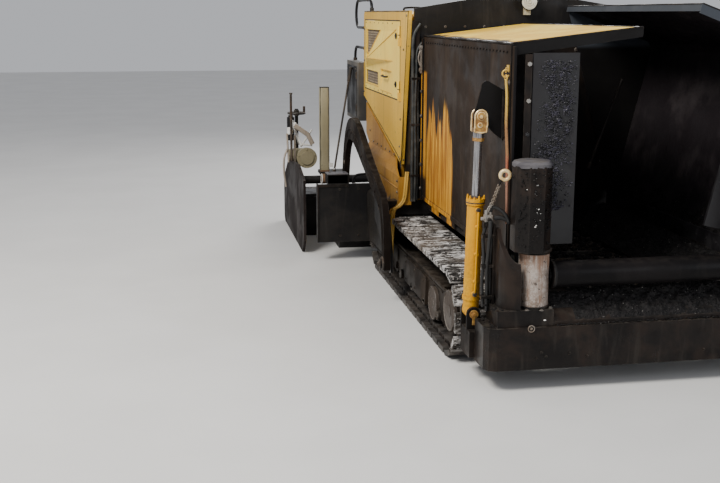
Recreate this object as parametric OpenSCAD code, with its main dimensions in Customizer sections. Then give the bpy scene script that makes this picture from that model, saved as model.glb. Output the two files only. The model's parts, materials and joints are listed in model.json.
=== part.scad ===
// Compact tracked asphalt paver. Millimetres, +Z up, the hopper faces -Y.
// "right" is the machine's own right-hand side, which lies at -X.
// Lengths along Y are counted from the hopper's front sill and shifted once, in placed().

/* [Tracks] */
// Half the width over the tracks
track_outer = 932; // [915:1:940]
// Width of a track shoe
track_w = 300; // [270:5:310]
// Outer radius of the track round its idler and sprocket
track_r = 258; // [250:1:262]
// Idler centre behind the front sill
idler_y = 640; // [635:5:700]
// Distance from idler centre to sprocket centre
track_base = 2100; // [2000:10:2110]
// Thickness of a track shoe
shoe_t = 26; // [20:1:30]
// Thickness of the chain under the shoes
chain_t = 34; // [28:1:38]
// Number of shoes round one track
shoe_count = 39; // [36:1:41]
// Gap between two shoes
shoe_gap = 22; // [14:1:30]
// Radius of a lower track roller
roller_r = 74; // [65:1:80]
// Number of lower track rollers
roller_count = 5; // [4:1:5]

/* [Hopper] */
// Wing hinge from the centreline
wing_hinge_x = 690; // [680:1:700]
// Height of the wing hinge
wing_hinge_z = 625; // [615:1:635]
// Outer face of a folded wing from the centreline
wing_face_x = 725; // [718:1:730]
// Height of a folded wing's outer corner
wing_top = 1800; // [1760:5:1820]
// Rise of the wing's side wall towards the middle when folded
wing_wall_rise = 80; // [60:1:90]
// Gap left between the two walls' edges and the centreline
wing_mid_gap = 10; // [8:1:20]
// Thickness of the wing's plates
wing_t = 26; // [20:1:28]
// Front edge of the wings behind the front sill
wing_front = 167; // [165:1:172]
// Rear edge of the wings
wing_rear = 2120; // [2080:5:2122]
// How far the left wing hangs open at rest
left_wing_open = 13; // [0:1:30]
// Height of the conveyor deck
deck_z = 432; // [428:1:440]
// Half the width of the conveyor trough inside its side plates
trough_x = 325; // [310:1:330]
// Spacing of the conveyor's slats
slat_pitch = 190; // [150:10:240]

/* [Front] */
// Front face of the bumper, ahead of the sill
bumper_front = -60; // [-66:1:-58]
// Depth of the bumper
bumper_d = 220; // [210:1:222]
// Lower edge of the bumper
bumper_z = 120; // [100:5:140]
// Top of the shelf that the corner posts stand on
shelf_z = 440; // [425:1:450]
// Radius of the push roller
push_r = 70; // [60:1:75]
// Half the length of the push roller
push_half = 520; // [480:1:525]
// Radius of a corner post's steel foot
post_r = 80; // [70:1:84]
// Distance across the corners of a post's cap
cap_w = 208; // [190:1:212]
// Height of a post with its cap
post_top = 1210; // [1150:5:1250]

/* [Body] */
// Half the width of the engine housing
shell_x = 800; // [780:1:805]
// Thickness of the housing's walls
shell_t = 14; // [10:1:16]
// Front of the engine housing
shell_front = 2190; // [2186:1:2200]
// Overhang of the engine housing behind the sprocket's centre
shell_past = 610; // [590:5:630]
// Underside of the hood
hood_z = 1902; // [1880:1:1910]
// Thickness of the side panels
panel_t = 25; // [20:1:28]
// Height of the side panels' top edge
panel_top = 1970; // [1940:5:1975]
// Overlap of the side panels beyond the housing
panel_past = 550; // [500:10:560]
// How far the fenders step in above the tracks
fender_step = 70; // [60:1:74]
// Height of the operator's deck
platform_z = 1080; // [1060:5:1100]
// Length of the operator's deck
platform_len = 1150; // [1130:5:1160]

/* [Screed] */
// Tow point behind the front sill
tow_y = 1740; // [1735:1:1750]
// Height of the tow point
tow_z = 290; // [280:1:300]
// Thickness of a tow arm
arm_t = 45; // [38:1:50]
// Half the width of the main screed
screed_x = 1100; // [1098:1:1105]
// Clear length between the auger and the main screed
screed_gap = 100; // [90:1:110]
// Depth of the main screed along the travel direction
screed_d = 590; // [570:5:592]
// Height of the main screed's box
screed_h = 420; // [400:5:425]
// Outer face of a screed extension's end plate at rest
end_plate_x = 1425; // [1420:1:1500]
// Thickness of an end plate
end_plate_t = 20; // [16:1:22]
// Height of the auger's centre
auger_z = 290; // [280:1:300]
// Radius of the auger's flights
auger_r = 150; // [140:1:155]

/* [Hidden] */
$fn = 48;
RIGHT = -1;
LEFT = 1;
// Radial clearance of a pin in its bore, and of pieces that slide past each other
fit = 0.3;
run_gap = 5;

yellow = [0.84, 0.72, 0.41];
gold = [0.78, 0.58, 0.22];
black = [0.14, 0.13, 0.13];
grey = [0.55, 0.53, 0.5];
steel = [0.7, 0.7, 0.68];
iron = [0.3, 0.27, 0.25];

// Main stations along the machine
sprocket_y = idler_y + track_base;
track_rear = sprocket_y + track_r;
chassis_rear = track_rear + 52;
auger_y = chassis_rear + 220;
screed_front = auger_y + auger_r + screed_gap;
screed_rear = screed_front + screed_d;
end_plate_rear = screed_rear + 790;
shell_rear = sprocket_y + shell_past;
platform_rear = shell_rear + platform_len;
bumper_rear = bumper_front + bumper_d;
back_wall_y = [wing_rear + 15, wing_rear + 40];
tunnel_y = back_wall_y[1] + run_gap;

// Moves the machine so that its middle stands over the origin
module placed() translate([0, -(end_plate_rear + bumper_front) / 2, 0]) children();
// Draws a right-hand piece, or its mirror image on the left
module on_side(side) {
    if (side == RIGHT) placed() children();
    else placed() mirror([1, 0, 0]) children();
}
module both_sides() {
    children();
    mirror([1, 0, 0]) children();
}
module box(x, y, z) translate([x[0], y[0], z[0]]) cube([x[1] - x[0], y[1] - y[0], z[1] - z[0]]);
module rod_x(x, y, z, r) translate([x[0], y, z]) rotate([0, 90, 0]) cylinder(r = r, h = x[1] - x[0]);
module rod_y(x, y, z, r) translate([x, y[0], z]) rotate([-90, 0, 0]) cylinder(r = r, h = y[1] - y[0]);
module rod_z(x, y, z, r) translate([x, y, z[0]]) cylinder(r = r, h = z[1] - z[0]);
// A plate whose outline is drawn as [y, z]
module plate_x(x) translate([x[0], 0, 0]) rotate([90, 0, 90]) linear_extrude(x[1] - x[0]) children();
// A plate whose outline is drawn as [x, z]
module plate_y(y) translate([0, y[1], 0]) rotate([90, 0, 0]) linear_extrude(y[1] - y[0]) children();
// A plate whose outline is drawn as [x, y]
module plate_z(z) translate([0, 0, z[0]]) linear_extrude(z[1] - z[0]) children();
// A bar with round ends between two points of a plane
module bar_2d(from, to, r) {
    d = to - from;
    translate(from) circle(r);
    translate(to) circle(r);
    translate(from) rotate(atan2(d[1], d[0])) translate([0, -r]) square([norm(d), 2 * r]);
}
function turned(p, c, a) = [
    c[0] + (p[0] - c[0]) * cos(a) - (p[1] - c[1]) * sin(a),
    c[1] + (p[0] - c[0]) * sin(a) + (p[1] - c[1]) * cos(a)
];

// Tracks
loop_r = track_r - shoe_t - chain_t;
track_in = track_outer - track_w;
shoe_path_r = track_r - shoe_t;
loop_len = 2 * track_base + 2 * PI * shoe_path_r;
shoe_pitch = loop_len / shoe_count;
chain_in = 45;
// Place and turn of a point that lies s along the loop: [y, z, angle]
function on_loop(s) =
    let (half = PI * shoe_path_r)
    s < track_base ? [idler_y + s, track_r - shoe_path_r, 180]
    : s < track_base + half ?
        let (a = (s - track_base) / shoe_path_r * 180 / PI)
        [sprocket_y + shoe_path_r * sin(a), track_r - shoe_path_r * cos(a), 180 + a]
    : s < 2 * track_base + half ? [sprocket_y - (s - track_base - half), track_r + shoe_path_r, 0]
    : let (a = (s - 2 * track_base - half) / shoe_path_r * 180 / PI)
        [idler_y - shoe_path_r * sin(a), track_r + shoe_path_r * cos(a), a];
module stadium(r) {
    translate([idler_y, track_r]) circle(r, $fn = 96);
    translate([sprocket_y, track_r]) circle(r, $fn = 96);
    translate([idler_y, track_r - r]) square([track_base, 2 * r]);
}
module shoe_outline() {
    half = (shoe_pitch - shoe_gap) / 2;
    sunk = 8;
    lip = 7;
    polygon([[-half + lip, -sunk], [half - lip, -sunk], [half, shoe_t - lip], [half - lip, shoe_t],
        [-half + lip, shoe_t], [-half, shoe_t - lip]]);
}
module track(side) color(grey) on_side(side) {
    plate_x([-track_outer + chain_in, -track_in - chain_in]) difference() {
        stadium(loop_r + chain_t);
        stadium(loop_r);
    }
    plate_x([-track_outer, -track_in]) intersection() {
        for (i = [0:shoe_count - 1])
            let (p = on_loop((i + 0.5) * shoe_pitch)) translate([p[0], p[1]]) rotate(p[2]) shoe_outline();
        translate([idler_y - 2 * track_r, 0]) square([track_base + 4 * track_r, 3 * track_r]);
    }
}

// Track frame: two side plates with the wheels between them
frame_t = 20;
frame_out = [-track_outer + 60, -track_outer + 60 + frame_t];
frame_in = [-track_in - 60 - frame_t, -track_in - 60];
wheel_x = [frame_out[1] + 10, frame_in[0] - 10];
axle_r = 32;
small_axle_r = 19;
roller_z = track_r - loop_r + roller_r + fit;
roller_in = 330;
roller_y = [for (i = [0:roller_count - 1])
    idler_y + roller_in + i * (track_base - 2 * roller_in) / (roller_count - 1)];
last_roller_y = roller_y[roller_count - 1];
module frame_plate() difference() {
    union() {
        bar_2d([idler_y, track_r], [sprocket_y, track_r], 62);
        translate([roller_y[0] - 90, roller_z - 20]) square([last_roller_y - roller_y[0] + 180, 180]);
    }
    for (i = [0:roller_count - 2])
        translate([(roller_y[i] + roller_y[i + 1]) / 2, roller_z - 20]) circle(70);
}
module wheel_axle(y, z, r) {
    rod_x([frame_out[0], frame_in[1]], y, z, r);
    rod_x([frame_out[0] - 14, frame_out[0] + 1], y, z, r * 1.7);
}
module track_frame(side) color(iron) on_side(side) {
    plate_x(frame_out) frame_plate();
    plate_x(frame_in) frame_plate();
    box([frame_out[0], frame_in[1]], [roller_y[0] - 60, last_roller_y + 60], [track_r + 52, track_r + 72]);
    for (y = [idler_y, sprocket_y]) wheel_axle(y, track_r, axle_r);
    for (y = roller_y) wheel_axle(y, roller_z, small_axle_r);
}
module big_wheel(y, holes) difference() {
    union() {
        rod_x(wheel_x, y, track_r, loop_r - 34);
        rod_x([wheel_x[0] + 12, wheel_x[1] - 12], y, track_r, loop_r - fit);
    }
    rod_x([wheel_x[0] - 1, wheel_x[1] + 1], y, track_r, axle_r + fit);
    for (i = [0:holes - 1])
        let (a = i * 360 / holes, hole_at = 0.53 * loop_r)
            rod_x([wheel_x[0] - 1, wheel_x[1] + 1], y + hole_at * cos(a), track_r + hole_at * sin(a), 30);
}
module track_wheels(side) color(iron) on_side(side) {
    big_wheel(idler_y, 6);
    big_wheel(sprocket_y, 8);
    for (y = roller_y) difference() {
        rod_x(wheel_x, y, roller_z, roller_r);
        rod_x([wheel_x[0] - 1, wheel_x[1] + 1], y, roller_z, small_axle_r + fit);
    }
}

// Chassis: two long side plates joined by box beams, with a raised tail under the operator's deck
beam_t = 20;
beam_x = [-trough_x - beam_t, -trough_x];
beam_top = deck_z + 38;
cross_y = [1000, 2180];
cross_d = 180;
cross_z = [215, 375];
deck_top = 655;
rear_beam_z = 600;
deck_beam_z = platform_z - 80;
tail_y = platform_rear - 20;
module chassis() color(black) placed() {
    both_sides() plate_x(beam_x) polygon([[bumper_rear, cross_z[0]], [chassis_rear - 550, cross_z[0]],
        [chassis_rear, 330], [chassis_rear, rear_beam_z], [chassis_rear + 350, rear_beam_z],
        [chassis_rear + 430, deck_beam_z], [tail_y, deck_beam_z], [tail_y, platform_z],
        [chassis_rear + 150, platform_z], [chassis_rear - 50, deck_top], [tunnel_y, deck_top],
        [tunnel_y, beam_top], [bumper_rear, beam_top]]);
    for (y = cross_y) box([frame_in[1], -frame_in[1]], [y, y + cross_d], cross_z);
    box([-620, 620], [tunnel_y, chassis_rear - 50], [deck_top - 15, deck_top]);
    for (y = [chassis_rear + 190, tail_y - 60]) box([-trough_x, trough_x], [y, y + 40], [deck_beam_z, platform_z]);
}

// Front end: bumper beam with its shelf, curved corner plates and cylinder ears
push_y = 30;
push_z = 610;
push_pin_r = 25;
push_pin_len = 45;
post_x = push_half + 10 + post_r;
post_y = 38;
post_split = 745;
cap_x = post_x + 25;
corner_r = 100;
corner_t = 22;
corner_x = post_x + post_r + 110;
corner_y = [60, 136];
bumper_x = corner_x + 85;
base_pin = [-bumper_x + 5, 360];
wing_pin_y = 270;
barrel_r = 44;
ear_t = 17;
ear_y = [wing_pin_y - barrel_r - 4 - ear_t, wing_pin_y + barrel_r + 4];
pin_r = 16;
eye_hole = [100, 470];
eye_hole_r = 25;
module bumper_outline() polygon([[-bumper_x, bumper_front + 60], [-bumper_x + 18, bumper_front + 18],
    [-bumper_x + 60, bumper_front], [bumper_x - 60, bumper_front], [bumper_x - 18, bumper_front + 18],
    [bumper_x, bumper_front + 60], [bumper_x, bumper_rear], [-bumper_x, bumper_rear]]);
// A plate that comes round the front corner in a quarter circle, cut off on a slope
module corner_plate() intersection() {
    plate_z([330, 850]) union() {
        translate([-corner_x, corner_y[0]]) square([corner_t, corner_y[1] - corner_y[0]]);
        intersection() {
            translate([-corner_x + corner_r, corner_y[0]]) difference() {
                circle(corner_r);
                circle(corner_r - corner_t);
            }
            translate([-corner_x, corner_y[0] - corner_r]) square(corner_r);
        }
    }
    plate_x([-corner_x - 1, -corner_x + corner_r + 1])
        polygon([[-80, 330], [150, 330], [150, 850], [90, 850], [20, 760], [-80, 560]]);
}
module front_bumper() color(black) placed() difference() {
    union() {
        plate_z([bumper_z, 350]) bumper_outline();
        plate_x([-push_half - 12, push_half + 12]) polygon([[bumper_front + 20, 340], [bumper_rear, 340],
            [bumper_rear, 500], [bumper_rear - 60, 500], [bumper_front + 20, 372]]);
        both_sides() {
            box([-bumper_x + 60, -push_half], [bumper_front + 15, bumper_rear], [340, shelf_z]);
            rod_z(-post_x, post_y, [shelf_z - 1, shelf_z + 14], post_r + 8);
            corner_plate();
            box([-bumper_x - 30, -bumper_x + 185], [bumper_rear - 1, ear_y[1] + ear_t], [130, 275]);
            for (y = ear_y) plate_y([y, y + ear_t]) bar_2d(base_pin, base_pin - [0, 100], 38);
            rod_y(base_pin[0], [ear_y[0], ear_y[1] + ear_t], base_pin[1], pin_r);
        }
    }
    both_sides() rod_x([-corner_x - 1, -corner_x + corner_t + 1], eye_hole[0], eye_hole[1], eye_hole_r);
}
module push_roller() color(black) placed() {
    rod_x([-push_half, push_half], push_y, push_z, push_r);
    rod_x([-push_half - push_pin_len, push_half + push_pin_len], push_y, push_z, push_pin_r);
}
module posts() color(steel) placed() both_sides() difference() {
    rod_z(-post_x, post_y, [shelf_z + 14, post_split], post_r);
    rod_x([-push_half - push_pin_len - 1, -post_x + post_r + 1], push_y, push_z, push_pin_r + fit);
}
module post_caps() color(black) placed() both_sides()
    translate([-cap_x, post_y, 0]) rotate(22.5) {
        translate([0, 0, post_split]) cylinder(d = cap_w, h = post_top - post_split - 20, $fn = 8);
        translate([0, 0, post_top - 21]) cylinder(d = cap_w - 30, h = 21, $fn = 8);
    }

// Hopper
knuckle_r = 24;
wing_pin_r = 12;
floor_t = 15;
knuckle_len = 195;
knuckle_pitch = 205;
knuckles = [for (i = [0:8]) wing_front + 20 + i * knuckle_pitch];
floor_edge = [-wing_hinge_x + 35, wing_hinge_z - 34];
floor_foot = [-trough_x + 20, beam_top + floor_t];
module hopper_floor() color(iron) placed() both_sides() {
    plate_y([bumper_rear, back_wall_y[0]]) polygon([floor_edge, floor_foot, floor_foot - [0, floor_t],
        [-trough_x - 30, beam_top], floor_edge - [0, floor_t + 3]]);
    for (i = [0:2:8]) difference() {
        union() {
            rod_y(-wing_hinge_x, [knuckles[i], knuckles[i] + knuckle_len], wing_hinge_z, knuckle_r);
            plate_y([knuckles[i], knuckles[i] + knuckle_len]) polygon([[-wing_hinge_x + 14, wing_hinge_z + 8],
                floor_edge + [5, -1], floor_edge + [5, -floor_t], [-wing_hinge_x, wing_hinge_z - 20]]);
        }
        rod_y(-wing_hinge_x, [knuckles[i] - 1, knuckles[i] + knuckle_len + 1], wing_hinge_z, wing_pin_r + fit);
    }
}
tunnel_half = 300;
tunnel_top = 850;
module hopper_back_wall() color(black) placed() difference() {
    union() {
        plate_y(back_wall_y) polygon([[-700, 640], [-330, 485], [330, 485], [700, 640], [700, 1780], [-700, 1780]]);
        box([-700, 700], [back_wall_y[0], tunnel_y], [1755, 1780]);
        for (x = [-520, -260, 260, 520]) box([x - 6, x + 6], [back_wall_y[0], tunnel_y], [tunnel_top + 20, 1780]);
    }
    box([-tunnel_half, tunnel_half], [back_wall_y[0] - 1, tunnel_y + 1], [400, tunnel_top]);
}

// Conveyor: two chains with slats over a deck plate
chain_x = trough_x - 55;
chain_run = [16, 28];
slat_x = chain_x + 18;
conveyor_y = [bumper_rear + 80, chassis_rear - 46];
module conveyor() color(iron) placed() {
    box([-trough_x, trough_x], [conveyor_y[0] + 60, conveyor_y[1] - 60], [deck_z - 5, deck_z + 5]);
    for (side = [-1, 1]) {
        box([side * chain_x - 8, side * chain_x + 8], [conveyor_y[0] + 90, conveyor_y[1] - 90],
            [deck_z - 20, deck_z + 20]);
        for (z = [deck_z + chain_run[0], deck_z - chain_run[1]])
            box([side * chain_x - 15, side * chain_x + 15], conveyor_y, [z, z + chain_run[1] - chain_run[0]]);
    }
    for (y = conveyor_y) rod_x([-trough_x, trough_x], y, deck_z, 24);
    for (y = [conveyor_y[0] + 80:slat_pitch:conveyor_y[1] - 80]) {
        box([-slat_x, slat_x], [y, y + 30], [deck_z + 22, deck_z + 46]);
        box([-slat_x, slat_x], [y + 60, y + 90], [deck_z - 46, deck_z - 22]);
    }
}

// Wings, drawn folded, on the right-hand side
tip_x = -wing_mid_gap;
tip_z = wing_top + wing_wall_rise;
wing_foot = wing_hinge_z + 35;
wing_in = -wing_face_x + wing_t;
rod_pin = [-wing_face_x - 130, 1425];
wing_hinge = [-wing_hinge_x, wing_hinge_z];
lug_t = 16;
lug_tip_r = 34;
module opened(a) translate([-wing_hinge_x, 0, wing_hinge_z]) rotate([0, -a, 0])
    translate([wing_hinge_x, 0, -wing_hinge_z]) children();
// Bottom plate and side wall in one section, with a stiff lip along the inner edge
module wing_section() polygon([[-wing_face_x, wing_foot], [-wing_face_x, wing_top - 12], [-wing_face_x + 12, wing_top],
    [tip_x, tip_z], [tip_x, tip_z - 40], [tip_x - 12, tip_z - 40], [tip_x - 12, tip_z - wing_t],
    [wing_in + 40, wing_top - wing_t], [wing_in, wing_top - wing_t - 40], [wing_in, wing_foot]]);
module wing(side, open) color(iron) on_side(side) opened(open) {
    plate_y([wing_front, wing_rear]) wing_section();
    plate_y([wing_rear - 14, wing_rear]) polygon([[-wing_face_x + 5, wing_foot], [-wing_face_x + 5, wing_top - 25],
        [tip_x - 5, tip_z - 12], [-wing_face_x + 60, wing_foot]]);
    box([-wing_face_x - 14, -wing_face_x + 1], [wing_rear - 30, wing_rear - 4], [wing_foot, wing_top - 20]);
    for (i = [1:2:7]) {
        rod_y(-wing_hinge_x, [knuckles[i], knuckles[i] + knuckle_len], wing_hinge_z, knuckle_r);
        box([-wing_face_x, wing_in], [knuckles[i], knuckles[i] + knuckle_len], [wing_hinge_z, wing_foot + 1]);
    }
    rod_y(-wing_hinge_x, [knuckles[0], knuckles[8] + knuckle_len], wing_hinge_z, wing_pin_r);
    plate_y([wing_pin_y - lug_t / 2, wing_pin_y + lug_t / 2]) {
        polygon([[-wing_face_x + 1, rod_pin[1] - 135], [-wing_face_x - 50, rod_pin[1] - 95],
            [rod_pin[0] + 15, rod_pin[1] - lug_tip_r + 4], [rod_pin[0] - lug_tip_r + 4, rod_pin[1] + 15],
            [rod_pin[0] + 4, rod_pin[1] + 145], [rod_pin[0] + 55, rod_pin[1] + 172], [-wing_face_x + 1, rod_pin[1] + 130]]);
        translate(rod_pin) circle(lug_tip_r);
        translate([rod_pin[0] + 34, rod_pin[1] + 150]) circle(30);
    }
    plate_y([wing_front, wing_front + 12]) polygon([[-wing_face_x + 2, wing_top - 62], [-wing_face_x + 2, wing_top - 14],
        [tip_x - 2, tip_z - 2], [tip_x - 2, tip_z - 50]]);
    rod_z(-wing_face_x + 16, wing_front - 11, [wing_foot, wing_top - 14], 12);
}
module wing_flap(side, open) color(black) on_side(side) opened(open) {
    box([-wing_face_x + 115, -wing_face_x + 365], [wing_front - 18, wing_front], [745, wing_top - 48]);
}
barrel_len = 625;
rod_r = 22;
rod_len = 560;
eye_r = 36;
fork_r = 32;
fork_t = 18;
fork_low = 84;
function wing_pin(open) = turned(rod_pin, wing_hinge, open);
function pin_dir(open) = let (d = wing_pin(open) - base_pin) d / norm(d);
module along_cylinder(open) translate([base_pin[0], wing_pin_y, base_pin[1]])
    rotate([0, atan2(pin_dir(open)[0], pin_dir(open)[1]), 0]) children();
module wing_barrel(side, open) color(gold) on_side(side) along_cylinder(open) difference() {
    union() {
        cylinder(r = barrel_r, h = barrel_len, $fn = 40);
        translate([0, 0, barrel_len - 34]) cylinder(r = barrel_r + 6, h = 34);
        translate([0, 0, 70]) cylinder(r = barrel_r + 5, h = 22);
        rotate([90, 0, 0]) translate([0, 0, -barrel_r]) cylinder(r = eye_r, h = 2 * barrel_r);
    }
    rotate([90, 0, 0]) translate([0, 0, -barrel_r - 1]) cylinder(r = pin_r + fit, h = 2 * barrel_r + 2);
    translate([0, 0, 60]) cylinder(r = rod_r + fit, h = barrel_len);
}
module wing_rod(side, open) color(steel) on_side(side) along_cylinder(open) {
    reach = norm(wing_pin(open) - base_pin);
    translate([0, 0, reach - rod_len - 70]) cylinder(r = rod_r, h = rod_len);
    translate([0, 0, reach - fork_low - 32]) cylinder(r = rod_r + 8, h = 34);
    // A fork straddles the wing's lug: a crown with two legs, each with a bore for the pin
    translate([0, 0, reach]) {
        box([-fork_r, fork_r], [-12 - fork_t, 12 + fork_t], [-fork_low, -fork_low + 20]);
        for (y = [-12 - fork_t, 12]) translate([0, y + fork_t, 0]) rotate([90, 0, 0]) linear_extrude(fork_t) difference() {
            bar_2d([0, 0], [0, fork_r - fork_low + 4], fork_r);
            circle(pin_r + 1);
        }
    }
}

// Engine housing
panel_rear = shell_rear + panel_past;
panel_front = shell_front - 35;
panel_low = [820, 1260];
panel_lean = 215;
// Height of the side panel's sloping lower edge at y
function panel_edge(y) = panel_low[0] + (panel_low[1] - panel_low[0]) * (y - shell_front) / (panel_rear - shell_front);
hood_pin = [shell_front + 18, hood_z + 72];
hood_knuckle_r = 10;
hood_pin_r = 5;
hood_knuckle_x = [300, 380];
module engine_block() color(iron) placed() box([-300, 300], [shell_front + 290, shell_front + 950], [deck_top, 1480]);
module front_panel() color(black) placed() {
    plate_y([tunnel_y, shell_front])
        polygon([[-780, deck_top], [780, deck_top], [780, 1985], [400, 2045], [-400, 2045], [-780, 1985]]);
    // Black flanks that show where the side panels lean back
    both_sides() box([-shell_x + shell_t + fit, -shell_x + shell_t + 12], [shell_front - 1, shell_front + panel_lean + 60],
        [deck_top, hood_z - 20]);
    both_sides() {
        rod_x([-hood_knuckle_x[1] - 80, -hood_knuckle_x[1] - fit], hood_pin[0], hood_pin[1], hood_knuckle_r);
        box([-hood_knuckle_x[1] - 80, -hood_knuckle_x[1] - fit], [shell_front - 1, hood_pin[0]],
            [hood_pin[1] - 8, hood_pin[1] + 8]);
        rod_x([-hood_knuckle_x[1] - 80, -hood_knuckle_x[0]], hood_pin[0], hood_pin[1], hood_pin_r);
    }
}
door_y = [shell_front + 230, panel_rear - 60];
door_z = [1330, 1900];
module body_shell() color(gold) placed() difference() {
    union() {
        both_sides() {
            plate_x([-shell_x, -shell_x + shell_t]) polygon([[shell_front, hood_z], [shell_rear, hood_z],
                [shell_rear, 640], [shell_front + panel_lean + 30, 640], [shell_front + panel_lean + 30, 800],
                [shell_front, hood_z - 60]]);
            box([-shell_x, -620], [shell_front, chassis_rear - 50], [640, 654]);
        }
        box([-shell_x, shell_x], [shell_rear - shell_t, shell_rear], [platform_z, hood_z]);
        box([560, shell_x], [shell_rear - 220, shell_rear], [hood_z - 14, hood_z]);
    }
    both_sides() box([-shell_x - 1, -shell_x + shell_t + 1], [door_y[0] + 100, shell_rear - 150], [1420, 1840]);
    for (i = [0:9]) box([-560, 560], [shell_rear - shell_t - 1, shell_rear + 1], [1150 + i * 34, 1166 + i * 34]);
}
hood_skin = 14;
hood_edge = shell_x - 10;
module hood() color(yellow) placed() {
    difference() {
        plate_y([shell_front + 12, shell_rear - 4]) polygon([[-hood_edge, hood_z + fit], [-hood_edge + 10, hood_z + 26],
            [-hood_edge + 40, hood_z + 46], [-600, hood_z + 62], [600, hood_z + 62], [hood_edge - 40, hood_z + 46],
            [hood_edge - 10, hood_z + 26], [hood_edge, hood_z + fit], [hood_edge - hood_skin, hood_z + fit],
            [hood_edge - 44, hood_z + 32], [595, hood_z + 62 - hood_skin], [-595, hood_z + 62 - hood_skin],
            [-hood_edge + 44, hood_z + 32], [-hood_edge + hood_skin, hood_z + fit]]);
        box([560, shell_x], [shell_rear - 230, shell_rear], [hood_z - 10, hood_z + 100]);
        for (i = [0:7]) box([-420, -100], [shell_front + 500 + i * 46, shell_front + 522 + i * 46],
            [hood_z, hood_z + 100]);
    }
    both_sides() difference() {
        union() {
            rod_x([-hood_knuckle_x[1], -hood_knuckle_x[0]], hood_pin[0], hood_pin[1], hood_knuckle_r);
            box([-hood_knuckle_x[1], -hood_knuckle_x[0]], [hood_pin[0], hood_pin[0] + 36], [hood_z + 56, hood_z + 78]);
        }
        rod_x([-hood_knuckle_x[1] - 1, -hood_knuckle_x[0] + 1], hood_pin[0], hood_pin[1], hood_pin_r + fit);
    }
}
door_hinge = [-shell_x - panel_t - 9, door_y[0] + 6];
door_pin_r = 8;
// The scoop is a pyramid on the door: its four feet as [y, z] and its tip as [out, y, z]
scoop_feet = [[door_y[0] + 735, 1826], [door_y[0] + 134, 1839], [door_y[0] + 274, 1602], [panel_rear - 140, 1514]];
scoop_tip = [62, door_y[0] + 1010, 1598];
duct_mesh = [[door_y[0] + 765, panel_rear - 140], [1640, 1822]];
low_mesh = [[door_y[0] + 835, panel_rear - 115], [1388, 1493]];
pocket = [[door_y[0] + 310, door_y[0] + 725], [1360, 1525]];
// Height ranges of the door's two hinges, upper knuckle each
hinge_z = [[door_z[0] + 60, door_z[0] + 140], [door_z[1] - 120, door_z[1] - 40]];
module hinge_half(y, z) {
    rod_z(door_hinge[0], door_hinge[1], z, door_pin_r);
    box([door_hinge[0], -shell_x - panel_t + 1], y, z);
}
module side_panel(side) color(yellow) on_side(side) {
    difference() {
        plate_x([-shell_x - panel_t, -shell_x]) polygon([[panel_front + panel_lean, panel_edge(shell_front + panel_lean)],
            [panel_rear, panel_low[1]], [panel_rear, panel_top - 30], [panel_rear - 30, panel_top],
            [panel_front, panel_top], [panel_front, panel_top - 60]]);
        box([-shell_x - panel_t - 1, -shell_x + 1], door_y, door_z);
    }
    for (z = hinge_z) hinge_half([door_y[0] - 30, door_hinge[1]], [z[0] - 60, z[0] - fit]);
}
// The door carries a pyramid-shaped air scoop in front of its duct, a lower mesh window and a grip pocket
module service_door(side) color(yellow) on_side(side) {
    door_x = [-shell_x - panel_t, -shell_x - 7];
    feet = [for (f = scoop_feet) [door_x[0] + 4, f[0], f[1]]];
    difference() {
        union() {
            box(door_x, door_y + [10, -6], door_z + [6, -6]);
            polyhedron(concat(feet, [[door_x[0] - scoop_tip[0], scoop_tip[1], scoop_tip[2]]]),
                [[0, 3, 2, 1], [0, 1, 4], [1, 2, 4], [2, 3, 4], [3, 0, 4]]);
        }
        for (window = [duct_mesh, low_mesh]) box([door_x[0] + 8, door_x[1] + 1], window[0] + [-12, 12], window[1] + [-12, 12]);
        plate_x([door_x[0] - 1, door_x[0] + 9]) polygon([[scoop_feet[0][0] + 30, duct_mesh[1][1]],
            [duct_mesh[0][1], duct_mesh[1][1]], [duct_mesh[0][1], 1560]]);
        plate_x([door_x[0] - 1, door_x[0] + 9]) polygon([[low_mesh[0][0], low_mesh[1][0]], [low_mesh[0][1], low_mesh[1][0]],
            [low_mesh[0][1], low_mesh[1][1]], [low_mesh[0][0], low_mesh[1][1]]]);
        plate_y(pocket[0]) polygon([[door_x[0] - 1, pocket[1][0]], [door_x[0] + 14, pocket[1][1]], [door_x[0] - 1, pocket[1][1]]]);
    }
    for (z = hinge_z) hinge_half([door_hinge[1], door_hinge[1] + 40], z);
}
fender_x = track_outer + 23;
fender_t = 12;
fender_y = [tunnel_y, panel_rear - 160];
fender_low = 200;
step_z = 585;
skirt_in = -fender_x + fender_step;
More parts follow.
